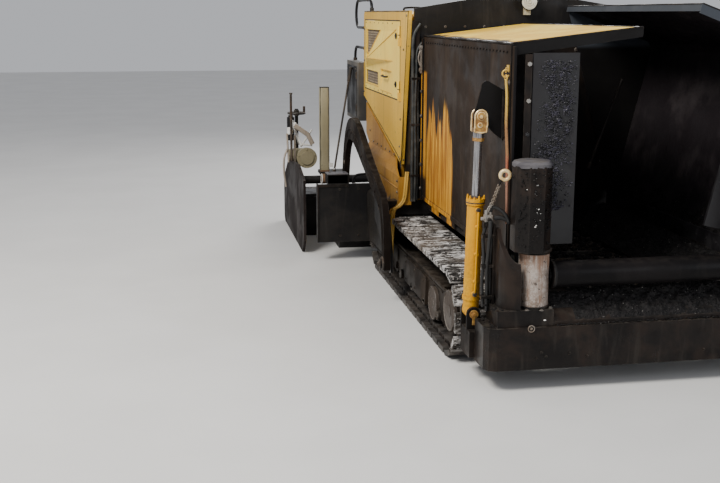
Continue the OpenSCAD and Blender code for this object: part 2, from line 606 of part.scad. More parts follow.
// Outline of the pressed skirt, from its lower edge over the step above the track to the panel: [x, z]
skirt_line = [[-fender_x, fender_low], [-fender_x, step_z - 40], [-fender_x + 8, step_z - 12], [-fender_x + 26, step_z + 3],
    [skirt_in - 20, step_z + 13], [skirt_in - 5, step_z + 30], [skirt_in, step_z + 55], [skirt_in, 815],
    [skirt_in + 18, 855], [-832, 900], [-832, 1300]];
tow_beam_y = [tow_y + 460, tow_y + 560];
tow_beam_z = [535, 635];
module fender(side) color(gold) on_side(side) difference() {
    union() {
        intersection() {
            plate_y(fender_y) polygon(concat(skirt_line,
                [for (i = [len(skirt_line) - 1:-1:0]) skirt_line[i] + [fender_t, i > 1 && i < 6 ? -fender_t : 0]]));
            plate_x([-fender_x - 1, -shell_x - 1]) polygon([[fender_y[0], fender_low], [track_rear - 90, fender_low],
                [track_rear + 20, 430], [track_rear + 44, 640], [fender_y[1], 960],
                [fender_y[1], panel_edge(fender_y[1]) - run_gap], [fender_y[0], panel_edge(fender_y[0]) - run_gap]]);
        }
        for (web = [[fender_y[0], 10], [track_rear - 20, -fit]]) plate_y([web[0], web[0] + fender_t])
            polygon([[-shell_x + web[1], step_z + 25], [-shell_x + web[1], 812], [skirt_in + 6, 812],
                [skirt_in + 6, step_z + 25]]);
        plate_y([fender_y[0], fender_y[0] + fender_t])
            translate([-fender_x + 1, fender_low]) square([17, step_z - 60 - fender_low]);
    }
    box([-fender_x - 1, -shell_x + 1], tow_beam_y + [-2, 2], tow_beam_z + [-2, 2]);
}

// Tow points and arms
arm_x = fender_x + 80;
tow_pin_r = 25;
bracket_x = [-arm_x + 4, -arm_x + 22];
module tow_bracket(side) color(black) on_side(side) {
    plate_x(bracket_x) polygon([[tow_y - 32, tow_z - 60], [tow_y + 30, tow_z - 75], [tow_y + 120, tow_z],
        [tow_beam_y[1], tow_beam_z[0] - 30], [tow_beam_y[1], tow_beam_z[1] + 20], [tow_y + 300, tow_beam_z[1] + 50],
        [tow_y + 90, tow_beam_z[1] - 20], [tow_y - 30, tow_z + 60]]);
    box([bracket_x[0], beam_x[0]], tow_beam_y, tow_beam_z);
    rod_x([-arm_x - arm_t - 20, bracket_x[0] + 1], tow_y, tow_z, tow_pin_r);
}
// Middle line of a tow arm and half its depth there, counted from the tow point: [y, z, half]
arm_line = [[0, -40, 42], [2, 130, 44], [45, 310, 50], [140, 412, 54], [310, 472, 60], [560, 556, 68], [830, 655, 80],
    [1100, 748, 90], [1300, 778, 86], [1480, 735, 70], [1620, 590, 54], [1700, 380, 48], [1760, 132, 48]];
// Reach from tow point to screed that the line is drawn for, and how far the real reach stretches it
drawn_reach = 1780;
arm_stretch = (screed_front - tow_y) / drawn_reach;
// Catmull-Rom curve through the line, at t from 0 to its last index
function mixed(a, b, c, d, u) = 0.5 * (2 * b + (c - a) * u + (2 * a - 5 * b + 4 * c - d) * u * u
    + (3 * b - a - 3 * c + d) * u * u * u);
function on_line(p, t) =
    let (last = len(p) - 1, i = min(floor(t), last - 1))
    mixed(p[max(i - 1, 0)], p[i], p[i + 1], p[min(i + 2, last)], t - i);
function arm_edge(t, side) =
    let (last = len(arm_line) - 1, p = on_line(arm_line, t),
        d = on_line(arm_line, min(t + 0.05, last)) - on_line(arm_line, max(t - 0.05, 0)),
        n = [-d[1], d[0]] / norm([d[0], d[1]]))
    [tow_y + arm_stretch * p[0], tow_z + p[1]] + side * p[2] * n;
arm_steps = [0:0.25:len(arm_line) - 1];
arm_foot_y = [screed_front - 10, screed_front + 190];
module tow_arm(side) color(iron) on_side(side) {
    plate_x([-arm_x - arm_t, -arm_x]) difference() {
        polygon(concat([for (t = arm_steps) arm_edge(t, 1)],
            [for (t = arm_steps) arm_edge(len(arm_line) - 1 - t, -1)]));
        translate([tow_y, tow_z]) circle(tow_pin_r + fit);
        translate([screed_front - 100, screed_h - 100]) square([400, 100]);
    }
    box([-arm_x - arm_t, -arm_x], arm_foot_y, [screed_h, screed_h + 30]);
}

// Auger
auger_in = 95;
auger_len = 900;
auger_pipe_r = 42;
module auger(side) color(iron) on_side(side) {
    rod_x([-auger_in - auger_len, -auger_in], auger_y, auger_z, auger_pipe_r);
    translate([-auger_in, auger_y, auger_z]) rotate([0, -90, 0])
        linear_extrude(height = auger_len, twist = 360 * 3, slices = 40, $fn = 24)
            translate([auger_pipe_r - 4, -7]) square([auger_r - auger_pipe_r + 4, 14]);
}
module auger_gearbox() color(black) placed() {
    rod_x([-auger_in + fit, auger_in - fit], auger_y, auger_z, 110);
    box([-90, 90], [auger_y - 60, auger_y + 60], [auger_z, rear_beam_z - 39]);
    box([beam_x[0], -beam_x[0]], [auger_y - 70, auger_y + 60], [rear_beam_z - 40, rear_beam_z]);
}
plate_half = 1350;
plate_z_range = [165, 632];
module auger_plate() color(black) placed() {
    difference() {
        plate_y([chassis_rear, chassis_rear + 18]) translate([-plate_half, plate_z_range[0]])
            square([2 * plate_half, plate_z_range[1] - plate_z_range[0]]);
        box([-tunnel_half, tunnel_half], [chassis_rear - 1, chassis_rear + 20], [380, 590]);
        box([-trough_x - beam_t - 5, trough_x + beam_t + 5], [chassis_rear - 1, chassis_rear + 20],
            [rear_beam_z - 3, plate_z_range[1] + 1]);
    }
    both_sides() {
        box([-plate_half + 85, -plate_half + 250], [chassis_rear + 6, chassis_rear + 146], [plate_z_range[1] - 1, 706]);
        for (x = [-plate_half, -plate_half + 300]) box([x, x + 12], [chassis_rear + 17, chassis_rear + 60], plate_z_range);
    }
}

// Screed
ext_depth = 515;
ext_y = [screed_rear + 15, screed_rear + 15 + ext_depth];
ext_x = [-end_plate_x + end_plate_t, -460];
ext_top = 350;
tube_y = screed_rear + 140;
tube_z = screed_h + 65;
tube_r = 37;
bearing_x = [-screed_x + 50, -screed_x + 150];
lift_x = 620;
lift_base = [screed_rear + 10, 1420];
lift_pin = [screed_rear - 50, screed_h + 220];
lift_r = 32;
lift_rod_r = 17;
lift_pin_r = 14;
ear_gap = 22;
lift_ear_t = 15;
// Square mast that stands on the bearing's bracket, clear of the extension's hangers
mast_at = [-screed_x - 35, tube_y - 90];
module lift_ears() for (x = [-lift_x - ear_gap - lift_ear_t, -lift_x + ear_gap])
    plate_x([x, x + lift_ear_t]) children();
module screed_main() color(iron) placed() {
    plate_x([-screed_x, screed_x]) polygon([[screed_front, 60], [screed_front + 45, 0], [screed_rear, 0],
        [screed_rear, screed_h], [screed_front + 40, screed_h], [screed_front, screed_h - 40]]);
    both_sides() {
        plate_x(bearing_x) difference() {
            polygon([[screed_rear - 110, screed_h], [screed_rear, screed_h], [tube_y + 60, tube_z - 60],
                [tube_y + 60, tube_z + 60], [tube_y - 60, tube_z + 60]]);
            translate([tube_y, tube_z]) circle(tube_r + fit);
        }
        lift_ears() polygon([[screed_rear - 110, screed_h], [screed_rear, screed_h],
            [lift_pin[0] + 40, lift_pin[1] + 40], [lift_pin[0] - 40, lift_pin[1] + 40]]);
        box([-980, -180], [screed_front + 200, screed_front + 400], [screed_h - 1, screed_h + 12]);
        box([mast_at[0] - 40, bearing_x[1]], [mast_at[1] - 30, tube_y + 60], [tube_z + 59, tube_z + 85]);
        box([mast_at[0] - 40, mast_at[0] + 40], [mast_at[1] - 30, mast_at[1] + 30], [tube_z + 84, 1320]);
    }
}
crank_at = [-end_plate_x + 85, screed_rear + 410];
module screed_ext(side) color(black) on_side(side) {
    plate_x(ext_x) polygon([[ext_y[0], 0], [ext_y[1], 0], [ext_y[1], 290], [ext_y[1] + 240, 290],
        [ext_y[1] + 240, 312], [ext_y[1] - 40, 312], [ext_y[1] - 80, ext_top], [ext_y[0], ext_top]]);
    for (x = [ext_x[0], ext_x[1] - 20]) plate_x([x, x + 20]) bar_2d([tube_y, ext_top - 40], [tube_y, tube_z], 52);
    rod_x(ext_x, tube_y, tube_z, tube_r);
    rod_z(crank_at[0], crank_at[1], [ext_top - 1, 1100], 16);
    translate([crank_at[0], crank_at[1], 1060]) rotate_extrude() translate([74, 0]) circle(9);
    rod_x([crank_at[0] - 74, crank_at[0] + 74], crank_at[1], 1060, 7);
}
module end_plate(side) color(black) on_side(side) {
    front = screed_front - 180;
    plate_x([-end_plate_x, -end_plate_x + end_plate_t])
        polygon([[front, 120], [front + 90, 25], [end_plate_rear - 20, 25], [end_plate_rear, 60],
            [end_plate_rear, 420], [screed_rear + 390, 640], [screed_front + 200, 700], [front, 620]]);
    plate_x([-end_plate_x, -end_plate_x + end_plate_t])
        polygon([[front + 120, 4], [end_plate_rear - 60, 4], [end_plate_rear - 30, 26], [front + 90, 26]]);
}
lift_len = norm(lift_pin - lift_base);
module along_lift() translate([-lift_x, lift_base[0], lift_base[1]])
    rotate([180 + atan2(lift_pin[0] - lift_base[0], lift_base[1] - lift_pin[1]), 0, 0]) children();
module lift_barrels() color(black) placed() both_sides() along_lift() difference() {
    union() {
        translate([0, 0, 50]) cylinder(r = lift_r, h = 380);
        translate([0, 0, 404]) cylinder(r = lift_r + 5, h = 26);
        cylinder(r = 18, h = 51);
        rotate([0, 90, 0]) translate([0, 0, -ear_gap + 3]) cylinder(r = 30, h = 2 * ear_gap - 6);
    }
    rotate([0, 90, 0]) translate([0, 0, -40]) cylinder(r = lift_pin_r + fit, h = 80);
    translate([0, 0, 60]) cylinder(r = lift_rod_r + fit, h = 430);
}
module lift_rods() color(steel) placed() both_sides() along_lift() {
    translate([0, 0, lift_len - 450]) cylinder(r = lift_rod_r, h = 425);
    translate([0, 0, lift_len]) difference() {
        rotate([0, 90, 0]) translate([0, 0, -ear_gap + 4]) cylinder(r = 30, h = 2 * ear_gap - 8);
        rotate([0, 90, 0]) translate([0, 0, -40]) cylinder(r = lift_pin_r, h = 80);
    }
}

// Operator's station
deck_t = 30;
deck_plate = [platform_z, platform_z + deck_t];
locker_x = [-shell_x - 80, -shell_x];
locker_y = [panel_rear + 15, platform_rear - 30];
locker_z = [1040, 1540];
module operator_platform() color(black) placed() difference() {
    union() {
        box([-shell_x, shell_x], [shell_rear, platform_rear], deck_plate);
        both_sides() {
            box([-745, -705], [lift_base[0] - 80, lift_base[0] - 40], [deck_plate[1], 1470]);
            box([-706, -560], [lift_base[0] - 76, lift_base[0] - 44], [1400, 1440]);
            lift_ears() polygon([[lift_base[0] - 70, 1385], [lift_base[0] + 30, 1385],
                [lift_base[0] + 35, 1455], [lift_base[0] - 70, 1455]]);
            rod_x([-lift_x - ear_gap - lift_ear_t, -lift_x + ear_gap + lift_ear_t], lift_base[0], lift_base[1], lift_pin_r);
            // Flat locker beside the operator's deck
            plate_z(locker_z) polygon([[locker_x[1] + 1, locker_y[0]], [locker_x[0] + 12, locker_y[0]],
                [locker_x[0], locker_y[0] + 12], [locker_x[0], locker_y[1] - 12], [locker_x[0] + 12, locker_y[1]],
                [locker_x[1] + 1, locker_y[1]]]);
        }
        box([-shell_x, shell_x], [platform_rear - 12, platform_rear], [platform_z - 60, platform_z + 70]);
    }
    both_sides() box([-675, -565], [lift_base[0] - 130, lift_base[0] + 90], deck_plate + [-1, 1]);
}
console_x = 460;
module console() color(yellow) placed() {
    plate_x([-console_x, console_x]) polygon([[shell_rear, deck_plate[1]], [shell_rear + 90, deck_plate[1]],
        [shell_rear + 90, 1250], [shell_rear + 130, 1600], [shell_rear + 230, 1690], [shell_rear + 220, 1740],
        [shell_rear + 70, 1880], [shell_rear, 1880]]);
    for (x = [-console_x, console_x - 20]) plate_x([x, x + 20]) polygon([[shell_rear + 210, 1690], [shell_rear + 250, 1700],
        [shell_rear + 90, 1925], [shell_rear, 1925], [shell_rear, 1860]]);
}
seat_y = [shell_rear + 350, shell_rear + 650];
seat_x = [-720, -320];
seat_top = 1570;
pad_t = 80;
back_top = 1960;
// Pedestal, pan and back plate of both seats
module seat_frames() color(black) placed() both_sides() {
    plate_y(seat_y + [90, -60]) polygon([[seat_x[0] + 90, deck_plate[1]], [seat_x[1] - 90, deck_plate[1]],
        [seat_x[1] - 140, deck_plate[1] + 70], [seat_x[1] - 140, seat_top - pad_t - 22],
        [seat_x[0] + 140, seat_top - pad_t - 22], [seat_x[0] + 140, deck_plate[1] + 70]]);
    plate_x(seat_x + [15, -15]) polygon([[seat_y[0] + 20, seat_top - pad_t - 23], [seat_y[1] + 52, seat_top - pad_t - 23],
        [seat_y[1] + 52, back_top - 30], [seat_y[1] + 40, back_top - 30], [seat_y[1] + 40, seat_top - pad_t - fit],
        [seat_y[0] + 20, seat_top - pad_t - fit]]);
}
module seat_pad(side) color(black) on_side(side)
    plate_x(seat_x) polygon([[seat_y[0], seat_top - pad_t], [seat_y[1] - 40, seat_top - pad_t], [seat_y[1] - 40, seat_top],
        [seat_y[0] + 30, seat_top], [seat_y[0], seat_top - 25]]);
module seat_back(side) color(black) on_side(side)
    plate_x(seat_x) polygon([[seat_y[1] - 40, seat_top + 1], [seat_y[1] + 39.7, seat_top + 1], [seat_y[1] + 39.7, back_top],
        [seat_y[1] - 20, back_top], [seat_y[1] - 40, back_top - 40]]);
rail_r = 12;
rail_bend = 90;
rail_x = -shell_x - 12.5;
rail_z = [1830, 2060];
rail_turn = (rail_z[1] - rail_z[0]) / 2;
rail_back = panel_rear + 340;
rail_low = 1660;
locker_rail_y = locker_y[1] - 60;
// A quarter or half bend of the rail in the upright plane along the machine, from angle a
module rail_arc(y, z, r, a, sweep) translate([0, y, z]) rotate([90, 0, 90]) rotate([0, 0, a])
    rotate_extrude(angle = sweep) translate([r, 0]) circle(rail_r, $fn = 24);
// Bent grab rails: one comes off the side panel's top, turns and ends on its rear edge, one drops to the locker
module handrails() color(black) placed() both_sides() translate([rail_x, 0, 0]) {
    rod_z(0, panel_rear - 300, [panel_top, rail_z[1] - rail_bend + 0.01], rail_r, $fn = 24);
    rail_arc(panel_rear - 300 + rail_bend, rail_z[1] - rail_bend, rail_bend, 90, 90);
    rod_y(0, [panel_rear - 300 + rail_bend - 0.01, rail_back + 0.01], rail_z[1], rail_r, $fn = 24);
    rail_arc(rail_back, rail_z[0] + rail_turn, rail_turn, -90, 180);
    rod_y(0, [panel_rear, rail_back + 0.01], rail_z[0], rail_r, $fn = 24);
    rod_y(0, [panel_rear, locker_rail_y - rail_bend + 0.01], rail_low, rail_r, $fn = 24);
    rail_arc(locker_rail_y - rail_bend, rail_low - rail_bend, rail_bend, 0, 90);
    rod_z(0, locker_rail_y, [locker_z[1], rail_low - rail_bend + 0.01], rail_r, $fn = 24);
}
exhaust_at = [680, shell_rear - 110];
module exhaust() color(iron) placed() difference() {
    union() {
        rod_z(exhaust_at[0], exhaust_at[1], [hood_z, 2100], 38);
        rod_z(exhaust_at[0], exhaust_at[1], [hood_z, hood_z + 10], 58);
    }
    rod_z(exhaust_at[0], exhaust_at[1], [hood_z + 40, 2101], 33);
}
lamp_at = [20, 2030];
module work_lamp() color(steel) placed() {
    translate([lamp_at[0], back_wall_y[0] - 40, lamp_at[1]]) rotate([-90, 0, 0]) {
        cylinder(r1 = 58, r2 = 40, h = 40);
        translate([0, 0, 39]) cylinder(r = 40, h = 22);
    }
    box([lamp_at[0] - 20, lamp_at[0] + 20], [back_wall_y[0] - 15, tunnel_y], [1940, lamp_at[1] - 35]);
}

chassis();
front_bumper();
posts();
post_caps();
push_roller();
hopper_floor();
hopper_back_wall();
conveyor();
wing(RIGHT, 0);  // wing_right
wing(LEFT, left_wing_open);  // wing_left
wing_flap(RIGHT, 0);  // wing_flap_right
wing_flap(LEFT, left_wing_open);  // wing_flap_left
wing_barrel(RIGHT, 0);  // wing_barrel_right
wing_barrel(LEFT, left_wing_open);  // wing_barrel_left
wing_rod(RIGHT, 0);  // wing_rod_right
wing_rod(LEFT, left_wing_open);  // wing_rod_left
track(RIGHT);  // track_right
track(LEFT);  // track_left
track_frame(RIGHT);  // track_frame_right
track_frame(LEFT);  // track_frame_left
track_wheels(RIGHT);  // track_wheels_right
track_wheels(LEFT);  // track_wheels_left
engine_block();
front_panel();
body_shell();
hood();
side_panel(RIGHT);  // side_panel_right
side_panel(LEFT);  // side_panel_left
service_door(RIGHT);  // service_door_right
service_door(LEFT);  // service_door_left
fender(RIGHT);  // fender_right
fender(LEFT);  // fender_left
tow_bracket(RIGHT);  // tow_bracket_right
tow_bracket(LEFT);  // tow_bracket_left
operator_platform();
console();
seat_frames();
seat_pad(RIGHT);  // seat_pad_right
seat_pad(LEFT);  // seat_pad_left
seat_back(RIGHT);  // seat_back_right
seat_back(LEFT);  // seat_back_left
handrails();
exhaust();
work_lamp();
auger_plate();
auger_gearbox();
auger(RIGHT);  // auger_right
auger(LEFT);  // auger_left
tow_arm(RIGHT);  // tow_arm_right
tow_arm(LEFT);  // tow_arm_left
screed_main();
screed_ext(RIGHT);  // screed_ext_right
screed_ext(LEFT);  // screed_ext_left
end_plate(RIGHT);  // end_plate_right
end_plate(LEFT);  // end_plate_left
lift_barrels();
lift_rods();
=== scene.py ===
import bpy, bmesh, json, random
from math import cos, exp, hypot, pi, radians, sin
from mathutils import Vector, Matrix, noise


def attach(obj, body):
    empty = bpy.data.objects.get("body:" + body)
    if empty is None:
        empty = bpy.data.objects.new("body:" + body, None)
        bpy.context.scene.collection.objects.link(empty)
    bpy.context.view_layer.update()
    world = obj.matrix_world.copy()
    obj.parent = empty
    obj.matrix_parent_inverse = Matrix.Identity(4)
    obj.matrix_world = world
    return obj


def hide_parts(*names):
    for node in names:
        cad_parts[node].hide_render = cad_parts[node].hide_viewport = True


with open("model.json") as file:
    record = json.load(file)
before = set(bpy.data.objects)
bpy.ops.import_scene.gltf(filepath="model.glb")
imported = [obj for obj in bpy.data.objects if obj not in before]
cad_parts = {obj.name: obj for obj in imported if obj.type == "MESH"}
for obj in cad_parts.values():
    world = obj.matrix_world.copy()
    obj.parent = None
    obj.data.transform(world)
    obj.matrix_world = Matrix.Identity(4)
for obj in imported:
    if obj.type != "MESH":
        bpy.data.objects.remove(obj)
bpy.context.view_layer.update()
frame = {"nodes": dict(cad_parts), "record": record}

random.seed(7)
# The frame's origin along the machine, in millimetres behind its front
SHIFT = 2420.0
RIGHT, LEFT = -1, 1
SIDES = ((RIGHT, "right"), (LEFT, "left"))
NAMES = dict(SIDES)
# Directions, as a right-hand piece has them
FRONT, REAR, UP, OUT, INWARD = (0, -1, 0), (0, 1, 0), (0, 0, 1), (-1, 0, 0), (1, 0, 0)
# Stations of the right-hand side, in millimetres: (x, z) in a plane across the machine, (x, y) on the ground
WING_HINGE, ROD_PIN, BARREL_BASE = (-690, 625), (-855, 1425), (-880, 360)
POST, POST_FOOT = (-635, 38), (-610, 38)
# The left wing stands open at rest, by this many degrees
LEFT_OPEN = 13
# Track: stations of the idler's centre, distance between idler and sprocket, radius of the chain's path
IDLER_Y, IDLER_Z, TRACK_BASE, TRACK_PATH = 640.0, 258.0, 2100.0, 232.0
# The outer face of the side panels and the doors, in x
SKIN = -826
# Auger shaft and tow pin, as (y, z)
AUGER, TOW_PIN = (3270, 290), (1740, 290)


def mm(x, y, z):
    """A point in the frame's metres, from millimetres of the machine's own stations."""
    return Vector((x / 1000, (y - SHIFT) / 1000, z / 1000))


# Camera and light
def camera():
    data = bpy.data.cameras.new("camera")
    data.lens = 52.75
    data.sensor_width = 36
    obj = bpy.data.objects.new("camera", data)
    bpy.context.scene.collection.objects.link(obj)
    obj.location = (-2.43, -7.52, 1.95)
    obj.rotation_euler = (radians(77.8), 0, radians(-9.9))
    bpy.context.scene.camera = obj


def area_light(name, at, target, size, energy, colour):
    data = bpy.data.lights.new(name, "AREA")
    data.shape = "DISK"
    data.size = size
    data.energy = energy
    data.color = colour
    obj = bpy.data.objects.new(name, data)
    obj.location = at
    obj.rotation_euler = (Vector(target) - Vector(at)).to_track_quat("-Z", "Y").to_euler()
    bpy.context.scene.collection.objects.link(obj)


def lights():
    area_light("key", (-5.5, -4.5, 7.0), (0, -0.5, 0.8), 3.0, 900, (1.0, 0.965, 0.90))
    area_light("fill", (3.5, -7.5, 3.0), (0, -1.0, 0.8), 4.0, 90, (0.92, 0.96, 1.0))
    area_light("back", (2.0, 6.5, 5.0), (0, 0.5, 1.0), 4.0, 260, (1.0, 0.98, 0.95))
    world = bpy.data.worlds.new("world")
    bpy.context.scene.world = world
    world.use_nodes = True
    back = world.node_tree.nodes["Background"]
    back.inputs[0].default_value = (0.93, 0.95, 1.0, 1)
    back.inputs[1].default_value = 0.55


camera()
lights()


# Materials
MAT = {}


class Graph:
    """A short way to write a material's nodes. The material is kept in MAT under its name."""

    def __init__(self, name):
        self.material = MAT[name] = bpy.data.materials.new(name)
        self.material.use_nodes = True
        self.tree = self.material.node_tree
        self.shader = self.tree.nodes["Principled BSDF"]
        coordinates = self.node("ShaderNodeTexCoord")
        self.place = coordinates.outputs["Object"]
        self.own_normal = coordinates.outputs["Normal"]
        self.true_normal = self.node("ShaderNodeNewGeometry").outputs["True Normal"]

    def node(self, kind, inputs=None, **settings):
        """Adds a node with its settings, and gives its inputs their values or links."""
        made = self.tree.nodes.new(kind)
        for key, value in settings.items():
            setattr(made, key, value)
        for key, value in (inputs or {}).items():
            self.link(value, made.inputs[key])
        return made

    def link(self, value, socket):
        if hasattr(value, "is_output"):
            self.tree.links.new(value, socket)
        elif isinstance(value, tuple) and len(socket.default_value) == 4:
            socket.default_value = (*value, 1)
        else:
            socket.default_value = value

    def math(self, kind, a, b=0.0, clamp=False):
        return self.node("ShaderNodeMath", {0: a, 1: b}, operation=kind, use_clamp=clamp).outputs[0]

    def split(self, vector):
        return self.node("ShaderNodeSeparateXYZ", {0: vector}).outputs

    def scaled(self, x, y, z):
        return self.node("ShaderNodeMapping", {"Vector": self.place, "Scale": (x, y, z)}).outputs[0]

    def noise(self, scale, detail=4.0, rough=0.55, vector=None, warp=0.0):
        inputs = {"Vector": vector or self.place, "Scale": scale, "Detail": detail, "Roughness": rough}
        return self.node("ShaderNodeTexNoise", {**inputs, "Distortion": warp}).outputs["Fac"]

    def cells(self, scale, feature="F1", output="Distance"):
        inputs = {"Vector": self.place, "Scale": scale}
        return self.node("ShaderNodeTexVoronoi", inputs, feature=feature).outputs[output]

    def ramp(self, value, low, high, out_low=0.0, out_high=1.0):
        inputs = {"Value": value, "From Min": low, "From Max": high, "To Min": out_low, "To Max": out_high}
        return self.node("ShaderNodeMapRange", inputs, interpolation_type="SMOOTHSTEP").outputs[0]

    def mix(self, share, a, b):
        """A colour between a and b."""
        return self.node("ShaderNodeMix", {0: share, 6: a, 7: b}, data_type="RGBA").outputs[2]

    def blend(self, share, a, b):
        """A number between a and b."""
        return self.node("ShaderNodeMix", {0: share, 2: a, 3: b}, data_type="FLOAT").outputs[0]

    def chain(self, kind, total, *values):
        for value in values:
            total = self.math(kind, total, value)
        return total

    def times(self, *values):
        return self.chain("MULTIPLY", *values)

    def most(self, *values):
        return self.chain("MAXIMUM", *values)

    def cloud(self, low, high, *texture):
        """0 to 1 in soft patches, cut from a noise texture between two of its levels."""
        return self.ramp(self.noise(*texture), low, high)

    def less(self, value):
        """What is left of 1 when the value is taken away."""
        return self.math("SUBTRACT", 1.0, value, True)

    def plus(self, a, b):
        return self.math("ADD", a, b)

    def band(self, value, low, high, soft):
        """1 between low and high, with soft ends."""
        rise = self.ramp(value, low - soft, low + soft)
        fall = self.ramp(value, high - soft, high + soft, 1.0, 0.0)
        return self.times(rise, fall)

    def edges(self, radius=0.004):
        """1 along sharp edges, from the angle between the bevelled and the true normal."""
        bevel = self.node("ShaderNodeBevel", {"Radius": radius}, samples=4).outputs[0]
        dot = self.node("ShaderNodeVectorMath", {0: bevel, 1: self.true_normal}, operation="DOT_PRODUCT")
        return self.ramp(self.math("SUBTRACT", 1.0, dot.outputs["Value"]), 0.02, 0.25)

    def facing_up(self):
        return self.ramp(self.split(self.true_normal)[2], 0.6, 0.95)

    def bump(self, height, strength, distance):
        inputs = {"Height": height, "Strength": strength, "Distance": distance}
        return self.node("ShaderNodeBump", inputs).outputs[0]

    def finish(self, colour, rough, normal, metal=0.0, gleam=0.5):
        inputs = self.shader.inputs
        for name, value in (("Base Color", colour), ("Roughness", rough), ("Metallic", metal),
                            ("Normal", normal)):
            self.link(value, inputs[name])
        inputs["Specular IOR Level"].default_value = gleam


def painted(name, base, faded, dirt, wear, dirt_share, low_dirt, chips=0.55, black_skirt=False, gleam=0.26):
    """Sprayed paint: fading, vertical drips, dirt near the ground, chipped edges, a black skirt at will."""
    g = Graph(name)
    _, y, z = g.split(g.place)
    broad = g.noise(1.7, 5.0, 0.6)
    colour = g.mix(g.ramp(broad, 0.35, 0.68), base, faded)
    drip = g.noise(1.0, 6.0, 0.62, g.scaled(16, 16, 1.3), 0.4)
    fine = g.noise(70.0, 4.0, 0.65)
    low = g.ramp(z, 0.15, 1.05, low_dirt, 0.0)
    drips = g.times(g.ramp(drip, 0.50, 0.74), dirt_share)
    grime = g.math("ADD", drips, g.times(low, g.ramp(fine, 0.35, 0.62)), True)
    colour = g.mix(grime, colour, dirt)
    spots = g.times(g.cloud(0.63, 0.67, 28.0, 5.0, 0.7), g.ramp(broad, 0.42, 0.6))
    worn = g.most(g.times(g.edges(), g.cloud(0.42, 0.56, 34.0, 3.0), chips), g.times(spots, 0.8))
    colour = g.mix(worn, colour, wear)
    if black_skirt:
        ragged = g.plus(z, g.ramp(g.noise(8.0, 4.0), 0.3, 0.7, -0.02, 0.02))
        behind = g.ramp(y, -0.245, -0.225)
        soot = g.mix(g.ramp(broad, 0.4, 0.65), (0.0085, 0.0078, 0.0072), (0.020, 0.0165, 0.0135))
        colour = g.mix(g.times(g.ramp(ragged, 0.60, 0.64, 1.0, 0.0), behind), colour, soot)
    roughness = g.blend(g.most(grime, worn), g.ramp(fine, 0.3, 0.7, 0.38, 0.47), 0.62)
    height = g.plus(g.times(fine, 0.35), g.times(g.noise(9.0, 2.0), 0.9))
    height = g.math("SUBTRACT", height, g.times(worn, 0.8))
    g.finish(colour, roughness, g.bump(height, 0.16, 0.0022), gleam=gleam)


def grimy(name, base, brown, gloss, crumbs, scale=1.0, dust_share=0.16, gleam=0.16):
    """Black paint under oil, soot and asphalt: matt dust, wet-looking patches and stuck grains."""
    g = Graph(name)
    broad = g.noise(2.6 * scale, 6.0, 0.62, None, 0.3)
    colour = g.mix(g.ramp(broad, 0.42, 0.66), base, brown)
    smear = g.noise(1.0, 6.0, 0.6, g.scaled(18, 18, 2.2), 0.5)
    dust = g.times(g.ramp(smear, 0.52, 0.72), dust_share)
    colour = g.mix(dust, colour, (0.085, 0.074, 0.062))
    up = g.times(g.facing_up(), g.cloud(0.40, 0.64, 22.0, 5.0), dust_share * 1.6)
    colour = g.mix(up, colour, (0.12, 0.104, 0.086))
    grain = g.cells(115.0)
    stuck = g.times(g.ramp(grain, 0.22, 0.34, 1.0, 0.0), g.cloud(0.56, 0.66, 6.5, 4.0), crumbs)
    colour = g.mix(stuck, colour, (0.02, 0.019, 0.018))
    worn = g.times(g.edges(0.005), g.cloud(0.42, 0.60, 26.0, 3.0), 0.35)
    colour = g.mix(worn, colour, (0.17, 0.148, 0.125))
    rough = g.blend(g.cloud(0.4, 0.62, 4.0, 5.0), gloss[0], gloss[1])
    height = g.plus(g.times(stuck, 1.3), g.times(g.noise(60.0, 5.0, 0.7), 0.5))
    g.finish(colour, rough, g.bump(height, 0.45, 0.003), gleam=gleam)


